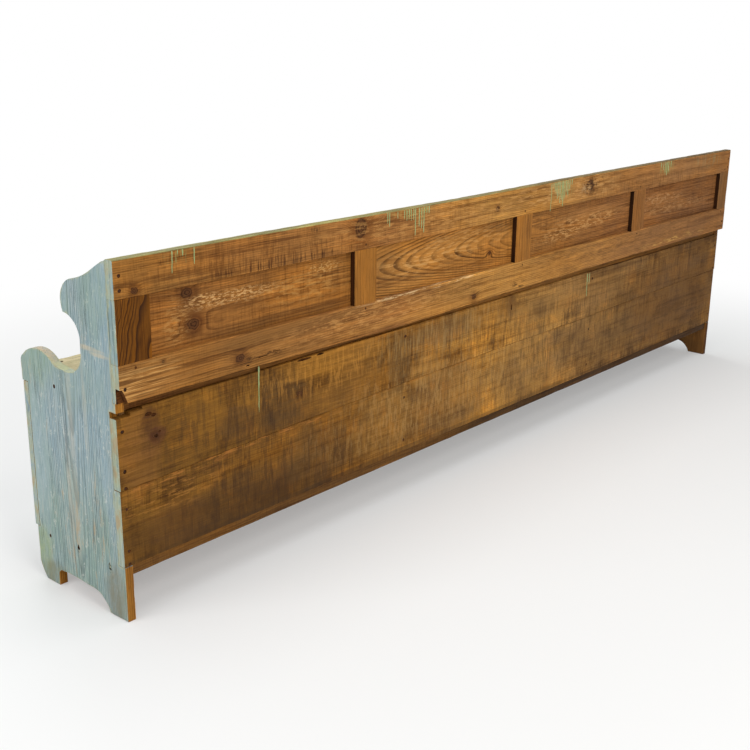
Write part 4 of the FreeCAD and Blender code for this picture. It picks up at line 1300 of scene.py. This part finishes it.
def end_board(node, materials, seed, cutters=()):
    """Replaces an end board: same outline, softened edges, dents and slightly uneven faces."""
    low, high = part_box(node)
    outer = high.x if high.x > 0 else low.x
    inner = low.x if high.x > 0 else high.x
    way = 1.0 if outer > 0 else -1.0
    loop = divided(outline_of(node, outer), 0.006)
    radius = 0.0012
    layers = [(0.0, radius), (0.3 * radius, 0.3 * radius), (radius, 0.0),
              (0.005, 0.0), (0.010, 0.0), (0.015, 0.0)]
    thickness = abs(outer - inner)
    layers += [(thickness - radius, 0.0), (thickness - 0.3 * radius, 0.3 * radius), (thickness, radius)]
    mesh = bmesh.new()
    rings = []
    for depth, inset in layers:
        ring = drawn_in(loop, inset) if inset else loop
        rings.append([mesh.verts.new((outer - way * depth, p.x, p.y)) for p in ring])
    skin(mesh, rings)
    face_outwards(mesh)
    for axis, start, end in ((1, low.y, high.y), (2, low.z, high.z)):
        count = round((end - start) / 0.009)
        normal = Vector([1.0 if i == axis else 0.0 for i in range(3)])
        for i in range(1, count):
            cut = Vector((0, 0, 0))
            cut[axis] = start + (end - start) * i / count + 0.0007
            bmesh.ops.bisect_plane(mesh, geom=mesh.faces[:] + mesh.edges[:] + mesh.verts[:], dist=1e-6,
                                   plane_co=cut, plane_no=normal)
    bmesh.ops.remove_doubles(mesh, verts=mesh.verts, dist=0.00035)
    edge = mesh.verts.layers.float.new("edge")
    mesh.normal_update()
    middle = (outer + inner) / 2
    tree = kdtree.KDTree(len(loop))
    for i, p in enumerate(loop):
        tree.insert((p.x, p.y, 0.0), i)
    tree.balance()
    for vert in mesh.verts:
        side = from_outline(Vector((vert.co.y, vert.co.z)), loop, tree)
        face = thickness / 2 - abs(vert.co.x - middle)
        vert[edge] = math.hypot(side, face) if face > 1e-5 else side
    covered = [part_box(n)[i].y for n, i in (("lower_back_plank_upper", 0), ("back_top_rail", 0),
                                           ("front_board", 1))]
    shifts = []
    for vert in mesh.verts:
        if any(abs(vert.co.y - y) < 0.003 for y in covered) and vert.co.z > FLOOR_TOP + 0.001:
            shifts.append(vert.normal * -0.0001)
            continue
        inward = 0.0003 + 0.00025 * jitter(vert.co, 0.09, seed) + 0.00015 * jitter(vert.co, 0.02, seed + 1)
        if vert[edge] < 0.0016:
            dent = max(0.0, jitter(vert.co, 0.03, seed + 2) - 0.05)
            nick = max(0.0, jitter(vert.co, 0.010, seed + 3) - 0.30)
            inward += min(0.0010 * dent + 0.0012 * nick, 0.0005)
        shifts.append(vert.normal * -inward)
    for vert, shift in zip(mesh.verts, shifts):
        vert.co += shift
    piece = finished(mesh, "old_" + node)

    def pick(centre, normal):
        if normal.x * way > 0.6:
            return 0
        if normal.x * way < -0.6:
            return 4 if centre.z < SEAT_TOP - 0.009 else 1
        behind = normal.y > 0.7 and (centre.z < FLOOR_TOP + 0.004 or abs(centre.z - BOX_TOP) < 0.03)
        return 3 if behind or normal.z < -0.7 and centre.z < 0.2 else 2

    dress(piece, materials, pick)
    carve(piece, list(cutters))
    smooth_by_angle(piece, 35.0)
    seat_on(piece, node)
    return piece


def on_end(depth, z, x=None):
    """A place on the outer face of the sitter's left end, at a distance in front of the back plane."""
    return (END_X if x is None else x, BACK_PLANE - depth, z)


END_GRAIN = Grain("z", "x", pith=(0.01, END_X + 0.045), spacing=0.0052, drift=0.014, waviness=0.001,
                  taper=0.03,
                  seed=21.0)
end_patches = [
    (on_end(0.085, 0.554), (0.02, 0.050, 0.0045), "c3b69c", 0.7),
    (on_end(0.040, 0.546), (0.02, 0.030, 0.0040), "c3b69c", 0.7),
    (on_end(0.285, 0.075), (0.02, 0.03, 0.05), "96a377", 0.75),
    (on_end(0.25, 0.02), (0.02, 0.05, 0.03), "7d7a5c", 0.7),
    (on_end(0.20, 0.60), (0.02, 0.06, 0.10), "88a08a", 0.55),
    (on_end(0.25, 0.50), (0.02, 0.05, 0.05), "8aa088", 0.5),
    (on_end(0.05, 0.66), (0.02, 0.05, 0.07), "8a9f92", 0.55),
    (on_end(0.12, 0.47), (0.02, 0.08, 0.05), "8ea096", 0.45),
    (on_end(0.30, 0.40), (0.02, 0.012, 0.20), "8b9c8c", 0.5),
    (on_end(0.03, 0.05), (0.02, 0.035, 0.06), "7d755e", 0.75),
    (on_end(0.15, 0.30), (0.02, 0.010, 0.22), "b0a796", 0.35),
    (on_end(0.17, 0.22), (0.02, 0.008, 0.14), "b9aa96", 0.40),
    (on_end(0.10, 0.42), (0.02, 0.006, 0.10), "b0ab9a", 0.35),
    (on_end(0.27, 0.30), (0.02, 0.03, 0.16), "a3b3b6", 0.5),
    (on_end(0.012, 0.30), (0.02, 0.012, 0.25), "8f9a92", 0.5),
]
end_outer = milk_paint("end_outer", END_GRAIN, 21.0, end_patches)
rim_patches = [
    (on_end(0.25, 0.55), (0.05, 0.10, 0.075), "c6b294", 0.9),
    (on_end(0.15, 0.49), (0.05, 0.05, 0.03), "b9bb8a", 0.8),
    (on_end(0.10, 0.72), (0.05, 0.10, 0.03), "b4b59c", 0.6),
    (on_end(0.0, 0.045), (0.02, 0.01, 0.075), "7d5526", 1.0),
    (on_end(0.16, 0.06), (0.02, 0.08, 0.03), "716644", 0.8),
    (on_end(0.30, 0.05), (0.02, 0.02, 0.07), "7f7b55", 0.6),
]
RIM_GRAIN = Grain("z", "y", pith=(END_X + 0.3, 0.0), spacing=0.004, seed=22.0)
end_rim = milk_paint("end_rim", RIM_GRAIN, 22.0, rim_patches, green="8fa08c", pale="b9bba0", wear=1.2)
end_inner = milk_paint("end_inner", END_GRAIN, 23.0, wear=1.1)
end_bare = pine("end_bare", Grain("z", "x", pith=(0.0, 0.8), spacing=0.0046, seed=26.0),
                ["7d5830"], grime=0.7,
                patches=[(on_end(0.15, 0.02, 0.0), (3.0, 0.60, 0.030), "4a3420", 0.6)])
far_rim = milk_paint("far_rim", RIM_GRAIN, 24.0, [
    ((-END_X, BACK_PLANE, 0.045), (0.03, 0.02, 0.075), "5b3c1c", 1.0),
    ((-END_X, 0.0, 0.06), (0.03, 0.10, 0.03), "5b4426", 0.9),
], green="8fa08c", pale="b9bba0", wear=1.2)
torn_holes = [
    lump("torn_hole", on_end(0.154, 0.111), (0.004, 0.0035, 0.0085), 31, 0.35, 3, HOLE_DIRT_AND_SHADE),
    lump("torn_hole", on_end(0.050, 0.108), (0.004, 0.0030, 0.0075), 32, 0.35, 3, HOLE_DIRT_AND_SHADE),
]
rim_wood = pine("rim_wood", Grain("z", "y", pith=(END_X + 0.2, 0.05), spacing=0.0045, seed=25.0),
                ["9a6a2c", "9a6a2c", "5c3c1c", "52371d"], grime=0.6, contrast=0.6)
end_board("left_end_board", [end_outer, end_inner, end_rim, rim_wood, end_bare], 81,
          torn_holes + dents("left_end_board", (-1, 0, 0), 68))
end_board("right_end_board", [end_outer, end_inner, far_rim, rim_wood, end_bare], 91,
          dents("right_end_board", (1, 0, 0), 69))


# Hinges and screws keep their CAD shapes, with forged iron on them
for node in frame["nodes"]:
    if NODE_SLOT[node] == "iron" and node not in ("back_nails", "chest_nails", "short_nails"):
        dress_node = frame["nodes"][node]
        dress_node.data.materials.clear()
        dress_node.data.materials.append(IRON)


# Drips of green paint down the back
DRIP_SIDES = 8
DRIP_SINK = 0.0005
DRIP_RISE = 0.0009
DRIP_TOP = 0.7325


def drip(name, points, seed):
    """A run of paint: (distance from the end, height, width) from its top down."""
    mesh = bmesh.new()
    rings = []
    fine = []
    for (s0, z0, w0), (s1, z1, w1) in zip(points[:-1], points[1:]):
        count = max(2, round(abs(z1 - z0) / 0.003))
        fine += [(s0 + (s1 - s0) * i / count, z0 + (z1 - z0) * i / count, w0 + (w1 - w0) * i / count)
                 for i in range(count)]
    fine.append(points[-1])
    for number, (distance, z, width) in enumerate(fine):
        x, y, z = from_end(distance + 0.0006 * jitter((distance, z, 0), 0.012, seed), z)
        if z > FRAME_BOTTOM:
            z += sag(x, z)
        half = width / 2 * (1 + 0.35 * jitter((0, z, 0), 0.008, seed + 1))
        if number in (0, len(fine) - 1):
            half *= 0.3
        ring = []
        for i in range(DRIP_SIDES):
            angle = 2 * math.pi * i / DRIP_SIDES
            side, out = half * math.cos(angle), DRIP_RISE * math.sin(angle)
            ring.append(mesh.verts.new((x + side, y - DRIP_SINK + out, z)))
        rings.append(ring)
    skin(mesh, rings)
    face_outwards(mesh)
    piece = finished(mesh, name)
    dress(piece, [GREEN])
    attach(piece, "bench")
    return piece


GREEN = green_drip("green_drip")
DRIPS = [
    [(0.137, 0.733, 0.003), (0.136, 0.712, 0.0022), (0.135, 0.690, 0.0016)],
    [(0.150, 0.733, 0.003), (0.150, 0.724, 0.002)],
    [(0.162, 0.733, 0.003), (0.162, 0.720, 0.002)],
    [(0.191, 0.733, 0.003), (0.190, 0.712, 0.0024), (0.190, 0.700, 0.0016)],
    [(1.452, 0.731, 0.003), (1.452, 0.690, 0.0022), (1.451, 0.655, 0.0016)],
    [(0.368, 0.452, 0.0040), (0.367, 0.400, 0.0032), (0.366, 0.349, 0.0026)],
    [(1.705, 0.438, 0.0050), (1.705, 0.400, 0.0036), (1.706, 0.368, 0.0024)],
    [(1.717, 0.438, 0.0040), (1.716, 0.405, 0.0024)],
]
for distance, foot, width in (
        (0.762, 0.708, 0.0030), (0.769, 0.700, 0.0034), (0.798, 0.716, 0.0030), (0.822, 0.712, 0.0034),
        (0.831, 0.707, 0.0034), (0.839, 0.709, 0.0030), (0.847, 0.705, 0.0032), (0.856, 0.706, 0.0030),
        (0.863, 0.669, 0.0036), (0.877, 0.688, 0.0036), (0.8865, 0.683, 0.0034), (0.895, 0.672, 0.0040),
        (0.905, 0.717, 0.0040), (0.914, 0.716, 0.0050), (1.462, 0.716, 0.0036), (1.470, 0.706, 0.0040),
        (1.476, 0.698, 0.0036), (1.483, 0.684, 0.0044), (1.490, 0.690, 0.0036), (1.497, 0.672, 0.0050),
        (1.505, 0.680, 0.0040), (1.512, 0.662, 0.0044), (1.519, 0.684, 0.0036), (1.527, 0.700, 0.0044),
        (1.535, 0.690, 0.0036), (1.545, 0.706, 0.0044), (1.556, 0.716, 0.0040), (2.085, 0.718, 0.0040),
        (2.100, 0.708, 0.0040), (2.112, 0.700, 0.0040), (2.122, 0.690, 0.0044), (2.134, 0.702, 0.0040),
        (2.150, 0.712, 0.0040)):
    DRIPS.append([(distance, DRIP_TOP, width), (distance, 0.7 * foot + 0.3 * DRIP_TOP, 0.75 * width),
                  (distance, foot, 0.6 * width)])
for number, points in enumerate(DRIPS):
    drip("drip_%d" % (number + 1), points, 100 + number)


# Floor, light and camera
def white_for_the_eye(nodes, links):
    """1 for rays from the camera, off gloss or through glass, else 0."""
    path = nodes.new("ShaderNodeLightPath")
    total = path.outputs["Is Camera Ray"]
    for name in ("Is Glossy Ray", "Is Transmission Ray"):
        node = nodes.new("ShaderNodeMath")
        node.operation = "MAXIMUM"
        links.new(total, node.inputs[0])
        links.new(path.outputs[name], node.inputs[1])
        total = node.outputs[0]
    return total


floor_mesh = bmesh.new()
bmesh.ops.create_grid(floor_mesh, x_segments=8, y_segments=8, size=14.0)
floor = finished(floor_mesh, "stage_floor")
floor.location.z = -0.0004
stage_material = bpy.data.materials.new("stage_white")
stage_material.use_nodes = True
nodes, links = stage_material.node_tree.nodes, stage_material.node_tree.links
nodes.clear()
stage_out = nodes.new("ShaderNodeOutputMaterial")
diffuse = nodes.new("ShaderNodeBsdfDiffuse")
diffuse.inputs["Color"].default_value = (0.82, 0.82, 0.81, 1.0)
glow = nodes.new("ShaderNodeEmission")
glow.inputs["Strength"].default_value = 1.0
place = nodes.new("ShaderNodeTexCoord")
far = nodes.new("ShaderNodeVectorMath")
far.operation = "LENGTH"
links.new(place.outputs["Object"], far.inputs[0])
fade = nodes.new("ShaderNodeMapRange")
fade.interpolation_type = "SMOOTHSTEP"
fade.inputs["From Min"].default_value = 1.3
fade.inputs["From Max"].default_value = 2.6
fade.inputs["To Min"].default_value = 0.25
links.new(far.outputs["Value"], fade.inputs["Value"])
seen = nodes.new("ShaderNodeMath")
seen.operation = "MULTIPLY"
links.new(fade.outputs[0], seen.inputs[0])
links.new(white_for_the_eye(nodes, links), seen.inputs[1])
blend = nodes.new("ShaderNodeMixShader")
links.new(seen.outputs[0], blend.inputs[0])
links.new(diffuse.outputs[0], blend.inputs[1])
links.new(glow.outputs[0], blend.inputs[2])
links.new(blend.outputs[0], stage_out.inputs["Surface"])
floor.data.materials.append(stage_material)

world = bpy.data.worlds.new("studio")
bpy.context.scene.world = world
world.use_nodes = True
nodes, links = world.node_tree.nodes, world.node_tree.links
nodes.clear()
world_out = nodes.new("ShaderNodeOutputWorld")
ambient = nodes.new("ShaderNodeBackground")
ambient.inputs["Color"].default_value = (0.96, 0.98, 1.0, 1.0)
ambient.inputs["Strength"].default_value = 0.45
white = nodes.new("ShaderNodeBackground")
white.inputs["Strength"].default_value = 1.0
white.inputs["Color"].default_value = (1.0, 1.0, 1.0, 1.0)
blend = nodes.new("ShaderNodeMixShader")
links.new(white_for_the_eye(nodes, links), blend.inputs[0])
links.new(ambient.outputs[0], blend.inputs[1])
links.new(white.outputs[0], blend.inputs[2])
links.new(blend.outputs[0], world_out.inputs["Surface"])


def soft_lamp(name, location, target, size, power, color=(1.0, 1.0, 1.0)):
    lamp = bpy.data.lights.new(name, "AREA")
    lamp.shape = "SQUARE"
    lamp.size = size
    lamp.energy = power
    lamp.color = color
    holder = bpy.data.objects.new(name, lamp)
    bpy.context.scene.collection.objects.link(holder)
    holder.location = location
    way = Vector(target) - Vector(location)
    holder.rotation_euler = way.to_track_quat("-Z", "Y").to_euler()


soft_lamp("key", (1.6, 3.9, 2.9), (0.2, 0.1, 0.4), 2.6, 105.0, (1.0, 0.985, 0.96))
soft_lamp("side", (4.2, -0.6, 2.2), (0.6, 0.0, 0.4), 2.4, 55.0, (0.97, 0.99, 1.0))
soft_lamp("front", (-1.5, -4.0, 2.6), (0.0, 0.0, 0.4), 2.6, 60.0)
soft_lamp("overhead", (0.0, 0.2, 3.6), (0.0, 0.0, 0.4), 3.0, 45.0)

# The camera was fitted to the photograph.
CAMERA_ANGLES = (130.717, 17.586, 0.695)
CAMERA_PLACE = (2.483, 1.81675, 1.1525)
CAMERA_LENS = 54.03
azimuth, elevation, roll = (math.radians(a) for a in CAMERA_ANGLES)
back = Vector((math.sin(azimuth) * math.cos(elevation), -math.cos(azimuth) * math.cos(elevation),
               math.sin(elevation)))
right = Vector((0, 0, 1)).cross(back).normalized()
up = back.cross(right)
turn = Matrix((right, up, back)).transposed() @ Matrix.Rotation(roll, 3, "Z")
camera_data = bpy.data.cameras.new("camera")
camera_data.lens = CAMERA_LENS
camera_data.sensor_width = 36.0
camera = bpy.data.objects.new("camera", camera_data)
bpy.context.scene.collection.objects.link(camera)
camera.matrix_world = Matrix.Translation(CAMERA_PLACE) @ turn.to_4x4()
bpy.context.scene.camera = camera
bpy.context.scene.view_settings.view_transform = "Standard"
